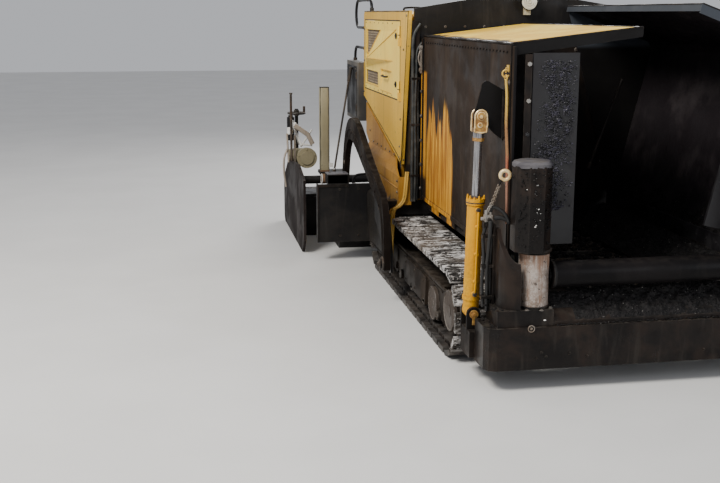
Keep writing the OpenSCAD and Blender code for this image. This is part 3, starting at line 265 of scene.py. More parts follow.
def wing_paint():
    """Hopper wings: yellow worn roof with grimy rims, brown-black outside with amber streaks, dark inside."""
    g = Graph("worn_wing")
    x, y, z = g.split(g.place)
    normal = g.split(g.own_normal)
    broad = g.noise(2.2, 6.0, 0.62, None, 0.3)
    smear = g.noise(1.0, 7.0, 0.62, g.scaled(9, 9, 1.1), 0.7)
    outer = g.mix(g.ramp(broad, 0.38, 0.66), (0.0140, 0.0084, 0.0052), (0.027, 0.0165, 0.0100))
    outer = g.mix(g.times(g.ramp(smear, 0.50, 0.72), 0.45), outer, (0.054, 0.039, 0.027))
    outer = g.mix(g.times(g.ramp(smear, 0.48, 0.30), 0.7), outer, (0.0085, 0.0070, 0.0060))
    # Amber patch at the rear of the outer face: flames that join into one field lower down
    flame = g.noise(1.0, 6.0, 0.60, g.scaled(0.5, 7.5, 0.85), 0.9)
    reach = g.ramp(g.math("ABSOLUTE", g.plus(y, 0.76)), 0.22, 0.46, 0.0, 0.34)
    reach = g.plus(g.ramp(z, 0.95, 1.58, 0.26, 0.70), reach)
    lick = g.ramp(g.math("SUBTRACT", flame, reach), -0.04, 0.03)
    patch = g.times(g.band(y, -1.20, -0.43, 0.04), g.ramp(z, 1.50, 1.66, 1.0, 0.0), lick)
    strip = g.times(g.band(y, -0.415, -0.305, 0.010), g.ramp(z, 1.54, 1.57, 1.0, 0.0),
                    g.ramp(z, 0.80, 0.86))
    strip = g.times(strip, g.cloud(0.30, 0.40, 1.0, 4.0, 0.6, g.scaled(4, 30, 4)))
    streaks = g.cloud(0.38, 0.64, 1.0, 6.0, 0.65, g.scaled(1, 26, 1.6), 0.5)
    amber = g.mix(streaks, (0.27, 0.095, 0.009), (0.66, 0.335, 0.038))
    right_side = g.ramp(x, -0.71, -0.70, 1.0, 0.0)
    outer = g.mix(g.times(g.most(patch, strip), right_side), outer, amber)
    roof_noise = g.noise(5.0, 7.0, 0.66, None, 0.4)
    roof = g.mix(g.cloud(0.38, 0.66, 2.4, 5.0, 0.6), (0.72, 0.43, 0.045), (0.88, 0.63, 0.110))
    # Grime creeps in from the rims of the roof
    rim = g.most(g.ramp(g.math("ABSOLUTE", x), 0.58, 0.715), g.ramp(y, -2.05, -2.25))
    rim = g.ramp(g.plus(g.times(rim, 0.42), roof_noise), 0.66, 0.80)
    roof = g.mix(rim, roof, (0.052, 0.042, 0.034))
    roof = g.mix(g.times(g.cloud(0.60, 0.68, 17.0, 6.0, 0.7), 0.65), roof, (0.20, 0.13, 0.065))
    top = g.times(g.ramp(normal[2], 0.72, 0.84), g.ramp(z, 1.775, 1.79))
    inside = g.mix(g.cloud(0.45, 0.68, 3.2, 6.0, 0.65), (0.0165, 0.0135, 0.0155), (0.036, 0.0300, 0.0320))
    outward = g.math("MULTIPLY", normal[0], g.math("SIGN", x))
    colour = g.mix(g.ramp(outward, 0.35, 0.6), inside, outer)
    colour = g.mix(top, colour, roof)
    front = g.ramp(normal[1], -0.85, -0.95)
    # Painted sheen: the left wing's front edge and the face of its ridge get a pale blue-grey painted
    # reflection
    sheen = g.times(g.ramp(x, 0.2, 0.3), g.ramp(z, 1.70, 1.74))
    colour = g.mix(front, colour, g.mix(sheen, (0.0075, 0.0068, 0.0068), (0.050, 0.057, 0.070)))
    # Painted reflection on the face of the left wing's ridge
    ridge = g.times(g.ramp(normal[0], -0.80, -0.90), g.ramp(x, 0.2, 0.3), g.ramp(x, 0.40, 0.45, 1.0, 0.0))
    ridge = g.times(ridge, g.ramp(z, 1.74, 1.76))
    colour = g.mix(ridge, colour, (0.052, 0.058, 0.068))
    worn = g.times(g.edges(0.005), g.cloud(0.48, 0.62, 21.0, 4.0), 0.3)
    colour = g.mix(worn, colour, (0.14, 0.118, 0.09))
    rough = g.blend(g.cloud(0.36, 0.64, 4.5, 5.0), 0.36, 0.68)
    rough = g.blend(top, rough, 0.78)
    height = g.plus(g.times(g.noise(48.0, 6.0, 0.7), 0.6), g.times(smear, 1.1))
    g.finish(colour, rough, g.bump(height, 0.30, 0.003), gleam=0.14)


def iron(name, base, dusty, rust, rough=(0.45, 0.85), dust_share=0.6, metal=0.35):
    """Cast and forged iron with rust in the hollows, dust on top, and rubbed edges."""
    g = Graph(name)
    broad = g.noise(4.0, 6.0, 0.65, None, 0.3)
    colour = g.mix(g.ramp(broad, 0.40, 0.66), base, rust)
    dust = g.most(g.facing_up(), g.cloud(0.46, 0.60, 8.0, 5.0))
    dust = g.times(dust, g.cloud(0.34, 0.56, 40.0, 5.0, 0.7), dust_share)
    colour = g.mix(dust, colour, dusty)
    rubbed = g.times(g.edges(0.005), g.cloud(0.38, 0.55, 30.0, 3.0))
    colour = g.mix(g.times(rubbed, 0.7), colour, (0.34, 0.31, 0.28))
    roughness = g.blend(g.most(dust, g.ramp(broad, 0.4, 0.6)), rough[0], rough[1])
    shine = g.times(g.less(dust), metal)
    height = g.plus(g.times(g.noise(75.0, 6.0, 0.75), 0.7), g.times(dust, 0.8))
    g.finish(colour, roughness, g.bump(height, 0.42, 0.0026), shine)


def shoe_iron():
    """Track shoes: pale trodden dust in ridges over dark iron."""
    g = Graph("dusty_shoe")
    _, y, z = g.split(g.place)
    clods = g.noise(1.0, 7.0, 0.72, g.scaled(11, 30, 26), 0.9)
    ridge = g.noise(1.0, 5.0, 0.66, g.scaled(9, 42, 42), 0.5)
    cake = g.ramp(g.plus(g.times(clods, 0.6), g.times(ridge, 0.5)), 0.52, 0.59)
    high = g.most(g.ramp(z, 0.40, 0.47, 0.05, 1.0),
                  g.times(g.ramp(y, -1.80, -1.86), g.ramp(z, 0.05, 0.12), 0.85))
    cake = g.times(cake, high)
    pale = g.mix(g.cloud(0.38, 0.62, 16.0, 5.0, 0.7), (0.36, 0.340, 0.325), (0.74, 0.715, 0.695))
    dark = g.mix(g.cloud(0.42, 0.62, 9.0, 5.0), (0.012, 0.0095, 0.0082), (0.034, 0.0270, 0.0220))
    colour = g.mix(cake, dark, pale)
    tan = g.times(g.cloud(0.45, 0.65, 3.0, 4.0), 0.35, g.ramp(z, 0.30, 0.44, 0.25, 1.0))
    colour = g.mix(tan, colour, (0.20, 0.155, 0.115))
    rough = g.blend(cake, 0.55, 0.92)
    height = g.plus(g.times(clods, 1.4), g.times(cake, 1.2))
    g.finish(colour, rough, g.bump(height, 0.75, 0.006))


def post_steel():
    """The posts' bare feet: galvanised grey with brown rust runs and dark spots."""
    g = Graph("bare_steel")
    z = g.split(g.place)[2]
    runs = g.noise(1.0, 7.0, 0.66, g.scaled(34, 34, 4.5), 0.7)
    colour = g.mix(g.cloud(0.38, 0.64, 7.0, 5.0), (0.235, 0.180, 0.145), (0.40, 0.335, 0.290))
    mottle = g.noise(60.0, 6.0, 0.75)
    colour = g.mix(g.times(g.ramp(mottle, 0.46, 0.60), 0.6), colour, (0.56, 0.50, 0.46))
    rust = g.times(g.ramp(g.plus(runs, g.ramp(z, 0.62, 0.76, 0.0, 0.16)), 0.50, 0.68), 0.85)
    colour = g.mix(rust, colour, (0.19, 0.095, 0.050))
    spots = g.cloud(0.58, 0.64, 30.0, 5.0, 0.7)
    colour = g.mix(spots, colour, (0.060, 0.042, 0.034))
    rough = g.blend(g.most(rust, spots), 0.42, 0.82)
    height = g.plus(g.times(runs, 0.8), g.times(spots, 0.7))
    metal = g.times(g.less(g.most(rust, spots)), 0.55)
    g.finish(colour, rough, g.bump(height, 0.4, 0.002), metal)


def polished_rod():
    g = Graph("chrome_rod")
    lines = g.noise(1.0, 4.0, 0.6, g.scaled(240, 240, 9))
    colour = g.mix(g.ramp(lines, 0.35, 0.65), (0.36, 0.35, 0.36), (0.62, 0.61, 0.62))
    # Painted reflection: long dark bands down the chrome
    dark_reflection = g.noise(1.0, 4.0, 0.6, g.scaled(60, 60, 2.0), 0.3)
    colour = g.mix(g.times(g.ramp(dark_reflection, 0.50, 0.58), 0.75), colour, (0.055, 0.050, 0.050))
    film = g.cloud(0.52, 0.68, 11.0, 5.0, 0.6)
    colour = g.mix(g.times(film, 0.5), colour, (0.30, 0.26, 0.21))
    # The fork's sides stay golden above the rod
    x, _, z = g.split(g.place)
    level = g.plus(z, g.ramp(x, 0.0, 0.1, 0.0, 0.058))
    colour = g.mix(g.ramp(level, 1.335, 1.345), colour, (0.34, 0.19, 0.06))
    rough = g.blend(film, 0.20, 0.42)
    g.finish(colour, rough, g.bump(lines, 0.08, 0.0005), 0.9)


def rubber(name, base, dusty, scale=1.0, share=0.5):
    g = Graph(name)
    broad = g.noise(6.0 * scale, 5.0, 0.6)
    colour = g.mix(g.times(g.ramp(broad, 0.42, 0.66), share), base, dusty)
    pores = g.noise(190.0, 3.0, 0.7)
    rough = g.blend(g.ramp(broad, 0.4, 0.65), 0.45, 0.74)
    g.finish(colour, rough, g.bump(pores, 0.25, 0.0008))


def vinyl():
    g = Graph("seat_vinyl")
    leather = g.cells(420.0, "DISTANCE_TO_EDGE")
    broad = g.noise(7.0, 4.0)
    colour = g.mix(g.ramp(broad, 0.40, 0.66), (0.020, 0.020, 0.021), (0.052, 0.050, 0.048))
    rough = g.blend(g.ramp(broad, 0.4, 0.62), 0.42, 0.60)
    g.finish(colour, rough, g.bump(g.ramp(leather, 0.0, 0.12), 0.35, 0.0006))


def plastic(name, base, darker, rough=0.4):
    g = Graph(name)
    broad = g.noise(9.0, 5.0)
    colour = g.mix(g.ramp(broad, 0.42, 0.68), base, darker)
    grain = g.noise(300.0, 2.0, 0.6)
    g.finish(colour, g.ramp(broad, 0.4, 0.65, rough, rough + 0.18), g.bump(grain, 0.1, 0.0004))


def asphalt(name="asphalt_crust", low=(0.0032, 0.0027, 0.0029), high=(0.010, 0.0082, 0.0086), gleam=0.26):
    """Cooled mix: dark shiny grains in a matt binder."""
    g = Graph(name)
    grain = g.cells(85.0)
    tone = g.cells(85.0, "F1", "Color")
    grey = g.split(tone)[0]
    colour = g.mix(g.ramp(grey, 0.35, 0.95), low, high)
    bright = g.times(g.ramp(grey, 0.90, 0.94), g.ramp(grain, 0.16, 0.30, 1.0, 0.0))
    colour = g.mix(bright, colour, (0.21, 0.20, 0.185))
    dusty = g.times(g.cloud(0.50, 0.68, 5.0, 5.0), 0.18)
    colour = g.mix(dusty, colour, (0.030, 0.024, 0.020))
    rough = g.blend(g.ramp(grain, 0.1, 0.4), 0.28, 0.72)
    height = g.plus(g.ramp(grain, 0.0, 0.5, 1.0, 0.0), g.times(g.noise(30.0, 6.0, 0.7), 0.8))
    g.finish(colour, rough, g.bump(height, 0.8, 0.006), gleam=gleam)


def brass_worn(name, light, deep, metal=0.75, stain=0.8):
    """Gold-coloured worn metal of the forks, the rings and the fittings."""
    g = Graph(name)
    broad = g.noise(26.0, 6.0, 0.65, None, 0.5)
    colour = g.mix(g.ramp(broad, 0.38, 0.62), light, deep)
    dark = g.cloud(0.54, 0.62, 50.0, 5.0, 0.7)
    colour = g.mix(g.times(dark, stain), colour, (0.05, 0.032, 0.02))
    rough = g.blend(dark, 0.32, 0.7)
    g.finish(colour, rough, g.bump(broad, 0.3, 0.0015), g.times(g.less(dark), metal))


def lock_copper():
    """The lock rods: worn gold at the eye, copper below, reddish near the ring."""
    g = Graph("lock_copper")
    z = g.split(g.place)[2]
    broad = g.noise(22.0, 6.0, 0.65, g.scaled(1, 1, 0.3), 0.5)
    level = g.plus(z, g.ramp(broad, 0.3, 0.7, -0.04, 0.04))
    colour = g.mix(g.ramp(level, 1.36, 1.50), (0.30, 0.150, 0.060), (0.62, 0.400, 0.085))
    colour = g.mix(g.ramp(level, 1.20, 1.28, 1.0, 0.0), colour, (0.36, 0.115, 0.062))
    colour = g.mix(g.ramp(level, 1.10, 1.14, 1.0, 0.0), colour, (0.30, 0.150, 0.100))
    dark = g.cloud(0.56, 0.64, 60.0, 5.0, 0.7)
    colour = g.mix(g.times(dark, 0.6), colour, (0.06, 0.032, 0.02))
    rough = g.blend(dark, 0.36, 0.7)
    g.finish(colour, rough, g.bump(broad, 0.3, 0.0015), g.times(g.less(dark), 0.3))


def mesh_grille():
    """Woven wire in front of a dark duct, as raised bumps with holes between them painted in the duct's
    shade.
    """
    g = Graph("wire_mesh")
    _, y, z = g.split(g.scaled(150, 150, 150))
    wave_y = g.math("ABSOLUTE", g.math("SINE", y))
    wave_z = g.math("ABSOLUTE", g.math("SINE", z))
    shaded_hole = g.times(g.ramp(wave_y, 0.35, 0.6), g.ramp(wave_z, 0.35, 0.6))
    colour = g.mix(shaded_hole, (0.40, 0.33, 0.24), (0.12, 0.095, 0.07))
    colour = g.mix(g.times(g.cloud(0.46, 0.62, 10.0, 5.0), 0.5), colour, (0.16, 0.12, 0.085))
    g.finish(colour, 0.6, g.bump(g.math("SUBTRACT", 1.0, shaded_hole), 0.6, 0.002), 0.3)


def glass_lens():
    g = Graph("lamp_lens")
    flute = g.math("SINE", g.split(g.scaled(260, 260, 260))[0])
    colour = g.mix(g.cloud(0.4, 0.65, 14.0, 4.0), (0.86, 0.84, 0.74), (0.62, 0.58, 0.47))
    g.finish(colour, g.ramp(flute, -1.0, 1.0, 0.06, 0.16), g.bump(flute, 0.25, 0.001))


def checker_plate():
    """Raised tread bars in two directions on the operator's deck."""
    g = Graph("checker_plate")
    base = g.mix(g.cloud(0.4, 0.66, 3.0, 5.0), (0.030, 0.028, 0.026), (0.095, 0.083, 0.070))
    x, y, _ = g.split(g.scaled(90, 90, 90))
    turns = g.plus(x, y), g.math("SUBTRACT", x, y)
    bars = []
    for across, along, sign in ((turns[0], turns[1], 1), (turns[1], turns[0], -1)):
        length = g.ramp(g.math("SINE", g.times(along, 0.5)), 0.1 * sign, 0.4 * sign)
        bars.append(g.times(g.ramp(g.math("SINE", across), 0.35, 0.7), length))
    bars = g.times(g.most(*bars), g.facing_up())
    colour = g.mix(g.times(bars, g.cloud(0.40, 0.6, 12.0, 4.0), 0.7), base, (0.24, 0.22, 0.20))
    dust = g.times(g.facing_up(), g.cloud(0.44, 0.62, 7.0, 6.0, 0.7), 0.5)
    colour = g.mix(dust, colour, (0.20, 0.175, 0.145))
    rough = g.blend(bars, 0.66, 0.38)
    g.finish(colour, rough, g.bump(bars, 0.6, 0.003))


def floor_paint():
    g = Graph("floor")
    colour = g.mix(g.cloud(0.3, 0.7, 1.2, 4.0), (0.66, 0.655, 0.645), (0.70, 0.695, 0.685))
    g.finish(colour, 0.85, g.bump(g.noise(40.0, 4.0), 0.06, 0.002))


painted("mustard_paint", (0.62, 0.355, 0.034), (0.71, 0.43, 0.060), (0.30, 0.19, 0.060),
        (0.22, 0.145, 0.06), 0.35, 0.3, chips=0.35, gleam=0.18)
painted("door_paint", (0.90, 0.60, 0.088), (0.94, 0.69, 0.135), (0.42, 0.29, 0.10), (0.24, 0.16, 0.07),
        0.25, 0.3, chips=0.35, gleam=0.20)
painted("fender_paint", (0.28, 0.125, 0.013), (0.40, 0.205, 0.028), (0.070, 0.043, 0.020),
        (0.055, 0.040, 0.028), 0.6, 0.3, black_skirt=True)
# The fender's front lip: lighter gold than the fender, partly its paint, partly a painted highlight where the
# lip catches the light
painted("lip_gold", (0.46, 0.26, 0.040), (0.62, 0.40, 0.090), (0.16, 0.10, 0.04),
        (0.07, 0.05, 0.03), 0.4, 0.2)
painted("golden_paint", (0.33, 0.155, 0.018), (0.46, 0.245, 0.036), (0.085, 0.052, 0.024),
        (0.055, 0.040, 0.028), 0.6, 0.8)
painted("yellow_strong", (0.64, 0.290, 0.005), (0.74, 0.39, 0.016), (0.25, 0.135, 0.020),
        (0.10, 0.065, 0.030), 0.4, 0.5, gleam=0.14)
grimy("black_paint", (0.0085, 0.0082, 0.0088), (0.018, 0.016, 0.015), (0.30, 0.62), 0.2)
# Crumbs: blue-black grains whose lighter bluish tones are partly their own colour, partly a painted highlight
# of glossy lumps
asphalt("crumb", (0.0045, 0.0040, 0.0062), (0.030, 0.027, 0.046), 0.75)
grimy("grimy_black", (0.0080, 0.0066, 0.0062), (0.0215, 0.0145, 0.0112), (0.28, 0.72), 0.8, 1.4)
wing_paint()
iron("worn_iron", (0.028, 0.024, 0.020), (0.15, 0.125, 0.098), (0.060, 0.036, 0.022), dust_share=0.35)
shoe_iron()
grimy("arm_grey", (0.0080, 0.0055, 0.0044), (0.019, 0.0135, 0.0105), (0.45, 0.8), 0.3, 1.0, 0.08, 0.06)
grimy("end_grey", (0.0150, 0.0112, 0.0108), (0.028, 0.0215, 0.0200), (0.5, 0.8), 0.2, 1.0, 0.11, 0.08)
grimy("roller_black", (0.0042, 0.0036, 0.0040), (0.0085, 0.0070, 0.0072), (0.36, 0.54), 0.15,
      1.0, 0.04, 0.10)
grimy("frame_brown", (0.0125, 0.0095, 0.0078), (0.030, 0.0215, 0.0155), (0.5, 0.8), 0.3, 1.0, 0.2, 0.12)
iron("disc_iron", (0.046, 0.034, 0.026), (0.095, 0.072, 0.056), (0.036, 0.024, 0.017),
     dust_share=0.25, metal=0.1)
plastic("white_box", (0.80, 0.79, 0.77), (0.50, 0.48, 0.46), 0.45)
grimy("cap_grey", (0.060, 0.056, 0.064), (0.110, 0.104, 0.112), (0.4, 0.7), 0.3, 2.0, 0.3, 0.3)
painted("box_grey", (0.095, 0.095, 0.110), (0.150, 0.148, 0.160), (0.06, 0.05, 0.04),
        (0.05, 0.04, 0.03), 0.5, 0.3)
iron("knob_brown", (0.22, 0.125, 0.070), (0.30, 0.20, 0.13), (0.12, 0.062, 0.032),
     dust_share=0.3, metal=0.1)
painted("dull_strut", (0.28, 0.235, 0.190), (0.40, 0.350, 0.300), (0.12, 0.095, 0.070),
        (0.08, 0.06, 0.045), 0.5, 0.3)
post_steel()
polished_rod()
rubber("rubber_black", (0.0064, 0.0056, 0.0068), (0.0150, 0.0130, 0.0155))
vinyl()
plastic("lamp_body", (0.62, 0.56, 0.40), (0.34, 0.27, 0.16))
asphalt()
brass_worn("fork_gold", (0.52, 0.300, 0.075), (0.30, 0.140, 0.035), 0.25, 0.6)
# A pale copy of the fork's gold: painted highlight on the fork's rims and pin heads, and the lock ring's own
# pale gold
brass_worn("fork_cream", (0.86, 0.690, 0.400), (0.62, 0.400, 0.150), 0.25, 0.35)
lock_copper()
mesh_grille()
glass_lens()
checker_plate()
iron("bright_fitting", (0.40, 0.39, 0.37), (0.22, 0.19, 0.15), (0.20, 0.15, 0.11), (0.25, 0.6), 0.35, 0.85)
plastic("pale_housing", (0.55, 0.54, 0.51), (0.30, 0.28, 0.25), 0.45)
painted("tan_green", (0.235, 0.205, 0.125), (0.33, 0.295, 0.190), (0.14, 0.12, 0.085),
        (0.08, 0.07, 0.055), 0.5, 0.5)
plastic("red_knob", (0.42, 0.035, 0.025), (0.20, 0.02, 0.018), 0.35)
rubber("dark_hose", (0.0060, 0.0058, 0.0060), (0.020, 0.018, 0.0165), 3.0, 0.6)
rubber("hose_rubber", (0.014, 0.016, 0.016), (0.060, 0.056, 0.048), 3.0, 0.7)

# Each of the record's slots, and the finer materials of scene.py that belong to it
FINER = {
    "grimy_black": "asphalt_crust crumb cap_grey",
    "worn_iron": "wire_mesh disc_iron frame_brown",
    "lamp_body": "lamp_lens box_grey white_box pale_housing red_knob",
    "black_paint": "checker_plate",
    "yellow_strong": "fork_gold fork_cream lock_copper",
    "rubber_black": "dark_hose hose_rubber",
    "arm_grey": "knob_brown dull_strut tan_green",
    "golden_paint": "fender_paint lip_gold",
    "bare_steel": "bright_fitting",
}
SLOT = {name: slot for slot, names in FINER.items() for name in names.split()}


def dress_nodes():
    slots = {part["node"]: part["material_slot"] for part in frame["record"]["subparts"]}
    special = {"operator_platform": "checker_plate", "push_roller": "roller_black"}
    for side in NAMES.values():
        special["track_frame_" + side] = "frame_brown"
        special["fender_" + side] = "fender_paint"
        special["service_door_" + side] = "door_paint"
        special["end_plate_" + side] = "end_grey"
    for name, obj in frame["nodes"].items():
        obj.data.materials.clear()
        obj.data.materials.append(MAT[special.get(name, slots[name])])


dress_nodes()


# Pieces
class Form:
    """Collects solids in one mesh, in millimetres of the machine's own stations."""

    def __init__(self):
        self.bm = bmesh.new()

    def add(self, points, faces):
        made = [self.bm.verts.new(mm(*p)) for p in points]
        for face in faces:
            self.bm.faces.new([made[i] for i in face])

    def block(self, x, y, z):
        points = [(a, b, c) for c in z for b in y for a in x]
        self.add(points,
                 [(0, 2, 3, 1), (4, 5, 7, 6), (0, 1, 5, 4), (2, 6, 7, 3), (0, 4, 6, 2), (1, 3, 7, 5)])

    def loft(self, rings, closed_ends=True):
        """Joins rings of as many points each."""
        count = len(rings[0])
        made = [[self.bm.verts.new(mm(*p)) for p in ring] for ring in rings]
        for a, b in zip(made, made[1:]):
            for i in range(count):
                j = (i + 1) % count
                self.bm.faces.new((a[i], a[j], b[j], b[i]))
        if closed_ends:
            self.bm.faces.new(list(reversed(made[0])))
            self.bm.faces.new(made[-1])

    def rod(self, start, end, r, n=16, r_end=None):
        self.tube([start, end], r, n, [r, r if r_end is None else r_end])

    def tube(self, points, r, n=10, radii=None):
        pts = [Vector(p) for p in points]
        normal = None
        rings = []
        for i, p in enumerate(pts):
            along = (pts[min(i + 1, len(pts) - 1)] - pts[max(i - 1, 0)]).normalized()
            if normal is None:
                normal = along.orthogonal().normalized()
            normal = (normal - along * normal.dot(along)).normalized()
            other = along.cross(normal)
            size = radii[i] if radii else r
            rings.append([p + (normal * cos(a) + other * sin(a)) * size
                          for a in (2 * pi * k / n for k in range(n))])
        self.loft(rings)

    def bent(self, points, r, n=10, steps=6):
        """A tube along a smooth curve through the points."""
        self.tube(curve(points, steps), r, n)

    def torus(self, centre, axis, big, small, n=24, m=10):
        axis = Vector(axis).normalized()
        a = axis.orthogonal().normalized()
        b = axis.cross(a)
        rings = []
        for k in range(n):
            t = radians(360 * k / n)
            p = Vector(centre) + (a * cos(t) + b * sin(t)) * big
            out = (p - Vector(centre)).normalized()
            rings.append([p + (out * cos(s) + axis * sin(s)) * small
                          for s in (2 * pi * j / m for j in range(m))])
        rings.append(rings[0])
        self.loft(rings, False)
        bmesh.ops.remove_doubles(self.bm, verts=self.bm.verts, dist=1e-6)

    def prism(self, axis, outline, low, high):
        """An outline given in the two other directions, drawn out along the axis."""
        def at(p, t):
            return {"x": (t, p[0], p[1]), "y": (p[0], t, p[1]), "z": (p[0], p[1], t)}[axis]
        self.loft([[at(p, low) for p in outline], [at(p, high) for p in outline]])

    def bolt(self, at, axis, size=12, washer=True):
        """A hexagon head on a washer, standing along the axis."""
        at, axis = Vector(at), Vector(axis).normalized()
        if washer:
            self.rod(at, at + axis * size * 0.2, size * 1.15, 14)
        turn = random.random()
        a = axis.orthogonal().normalized()
        b = axis.cross(a)
        corners = [pi * k / 3 + turn for k in range(6)]
        ring = [(a * cos(t) + b * sin(t)) * size * 0.85 for t in corners]
        self.loft([[at + axis * size * h + p * s for p in ring] for h,
                   s in ((0.1, 1.0), (0.62, 1.0), (0.75, 0.88))])

    def bolt_ring(self, centre, axis, r, count, size, first=0, washer=True):
        """Bolts on a circle across one of the three axes, the first at an angle in degrees."""
        i, j = [k for k in range(3) if not axis[k]]
        for k in range(count):
            turn = radians(first + 360 * k / count)
            at = list(centre)
            at[i] += r * cos(turn)
            at[j] += r * sin(turn)
            self.bolt(at, axis, size, washer)

    def bolts(self, x, y, z, axis, size, washer=True):
        """Bolts on a grid, where x, y and z are numbers or rows of numbers."""
        x, y, z = [c if hasattr(c, "__iter__") else (c,) for c in (x, y, z)]
        for at in [(a, b, c) for a in x for b in y for c in z]:
            self.bolt(at, axis, size, washer)

    def slab(self, top, low, ends=True):
        """Closes two grids of vertices to one slab, with its two short ends at will."""
        face = self.bm.faces.new
        nu, nv = len(top) - 1, len(top[0]) - 1
        for i in range(nu):
            for j in range(nv):
                face((top[i][j], top[i + 1][j], top[i + 1][j + 1], top[i][j + 1]))
                face((low[i][j], low[i][j + 1], low[i + 1][j + 1], low[i + 1][j]))
            face((top[i][0], low[i][0], low[i + 1][0], top[i + 1][0]))
            face((top[i][nv], top[i + 1][nv], low[i + 1][nv], low[i][nv]))
        for j in range(nv if ends else 0):
            face((top[0][j], top[0][j + 1], low[0][j + 1], low[0][j]))
            face((top[nu][j], low[nu][j], low[nu][j + 1], top[nu][j + 1]))

    def double(self):
        """Adds the mirror image, for pieces that both sides have on one body."""
        copy = bmesh.ops.duplicate(self.bm, geom=self.bm.verts[:] + self.bm.edges[:] + self.bm.faces[:])
        for v in copy["geom"]:
            if isinstance(v, bmesh.types.BMVert):
                v.co.x = -v.co.x

    def on_side(self, label, material, side, body, bevel=0.0):
        """Makes a right-hand piece, or its mirror image for the left side."""
        if side == LEFT:
            for v in self.bm.verts:
                v.co.x = -v.co.x
        self.make(f"{label}_{NAMES[side]}", material, body, bevel)

    def on_wing(self, label, material, side, bevel=0.0):
        """Makes a piece of the folded right wing, or of the left one, which stands open."""
        if side == LEFT:
            hinge = mm(WING_HINGE[0], 0, WING_HINGE[1])
            turn = Matrix.Rotation(radians(-LEFT_OPEN), 3, "Y")
            for v in self.bm.verts:
                q = turn @ (v.co - Vector((hinge.x, v.co.y, hinge.z)))
                v.co = Vector((hinge.x + q.x, v.co.y, hinge.z + q.z))
        self.on_side(label, material, side, "wing_" + NAMES[side], bevel)

    def make(self, name, material, body="root", bevel=0.0, both=False):
        """Turns what was collected into a piece, and starts afresh."""
        if both:
            self.double()
        bmesh.ops.recalc_face_normals(self.bm, faces=self.bm.faces[:])
        mesh = bpy.data.meshes.new(name)
        self.bm.to_mesh(mesh)
        self.bm.free()
        self.bm = bmesh.new()
        obj = bpy.data.objects.new(name, mesh)
        bpy.context.scene.collection.objects.link(obj)
        mesh.materials.append(MAT[material])
        mesh.shade_smooth()
        mesh.set_sharp_from_angle(angle=radians(38))
        if bevel:
            mod = obj.modifiers.new("bevel", "BEVEL")
            mod.width = bevel / 1000
            mod.segments = 2
            mod.limit_method = "ANGLE"
            mod.angle_limit = radians(40)
            mod.harden_normals = True
        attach(obj, body)
        return obj


def curve(points, steps=6):
    """Points on a smooth Catmull-Rom curve."""
    pts = [Vector(p) for p in points]
    pts = [2 * pts[0] - pts[1]] + pts + [2 * pts[-1] - pts[-2]]
    made = []
    for a, b, c, d in zip(pts, pts[1:], pts[2:], pts[3:]):
        for k in range(steps):
            t = k / steps
            square, cube = 2 * a - 5 * b + 4 * c - d, 3 * b - a - 3 * c + d
            made.append(0.5 * (2 * b + (c - a) * t + square * t * t + cube * t ** 3))
    made.append(pts[-2])
    return made


# Asphalt, dust and stones
# Dimension, lacunarity and octaves of the crusts' relief
FRACTAL = (0.9, 2.1, 5)


def lumps(form, spots, low, high, flat=0.7):
    """Small stuck stones, each an uneven twelve-pointed solid; the same solids also serve as painted glints.
    """
    # With the golden ratio t the solid's corners stand 1.9 from its centre
    t, reach = 1.618, 1.9
    shape = [(-1, t, 0), (1, t, 0), (-1, -t, 0), (1, -t, 0), (0, -1, t), (0, 1, t), (0, -1, -t), (0, 1, -t),
             (t, 0, -1), (t, 0, 1), (-t, 0, -1), (-t, 0, 1)]
    faces = [(0, 11, 5), (0, 5, 1), (0, 1, 7), (0, 7, 10), (0, 10, 11), (1, 5, 9), (5, 11, 4),
             (11, 10, 2), (10, 7, 6),
             (7, 1, 8), (3, 9, 4), (3, 4, 2), (3, 2, 6), (3, 6, 8), (3, 8, 9), (4, 9, 5), (2, 4,
                                                                                           11), (6, 2, 10),
             (8, 6, 7), (9, 8, 1)]
    for spot in spots:
        size = random.uniform(low, high) / reach
        stretch = [random.uniform(0.7, 1.3), random.uniform(0.7, 1.3), random.uniform(0.6, 1.0) * flat]
        turn = Matrix.Rotation(random.uniform(0, 6.28), 3,
                               Vector((random.random(), random.random(), 1)).normalized())
        points = []
        for p in shape:
            v = turn @ Vector(p) * size * random.uniform(0.8, 1.15)
            points.append((spot[0] + v.x * stretch[0], spot[1] + v.y * stretch[1],
                           spot[2] + v.z * stretch[2]))
        form.add(points, faces)


def crust(name, place, size, thick, seed, fade=0.12, rough=1.0):
    """A lumpy layer over a surface: place(u, v) gives a point and its normal, u and v run from 0 to 1."""
    nu, nv = size
    form = Form()
    top, low = [], []
    for i in range(nu + 1):
        row_top, row_low = [], []
        for j in range(nv + 1):
            u, v = i / nu, j / nv
            p, n = place(u, v)
            p, n = Vector(p), Vector(n).normalized()
            rim = min(u / fade, (1 - u) / fade, v / (fade * 1.6), (1 - v) / (fade * 1.6), 1.0)
            lump = noise.fractal(p * 0.021 + Vector((seed, 0, 0)), *FRACTAL) * rough
            cell = noise.noise(p * 0.085 + Vector((0, seed, 0))) * 0.45 * rough
            height = max(0.0, 0.55 + lump + cell) * thick * max(0.0, rim) ** 0.6
            row_top.append(form.bm.verts.new(mm(*(p + n * (0.8 + height)))))
            row_low.append(form.bm.verts.new(mm(*(p - n * 1.0))))
        top.append(row_top)
        low.append(row_low)
    form.slab(top, low)
    form.make(name, "asphalt_crust")


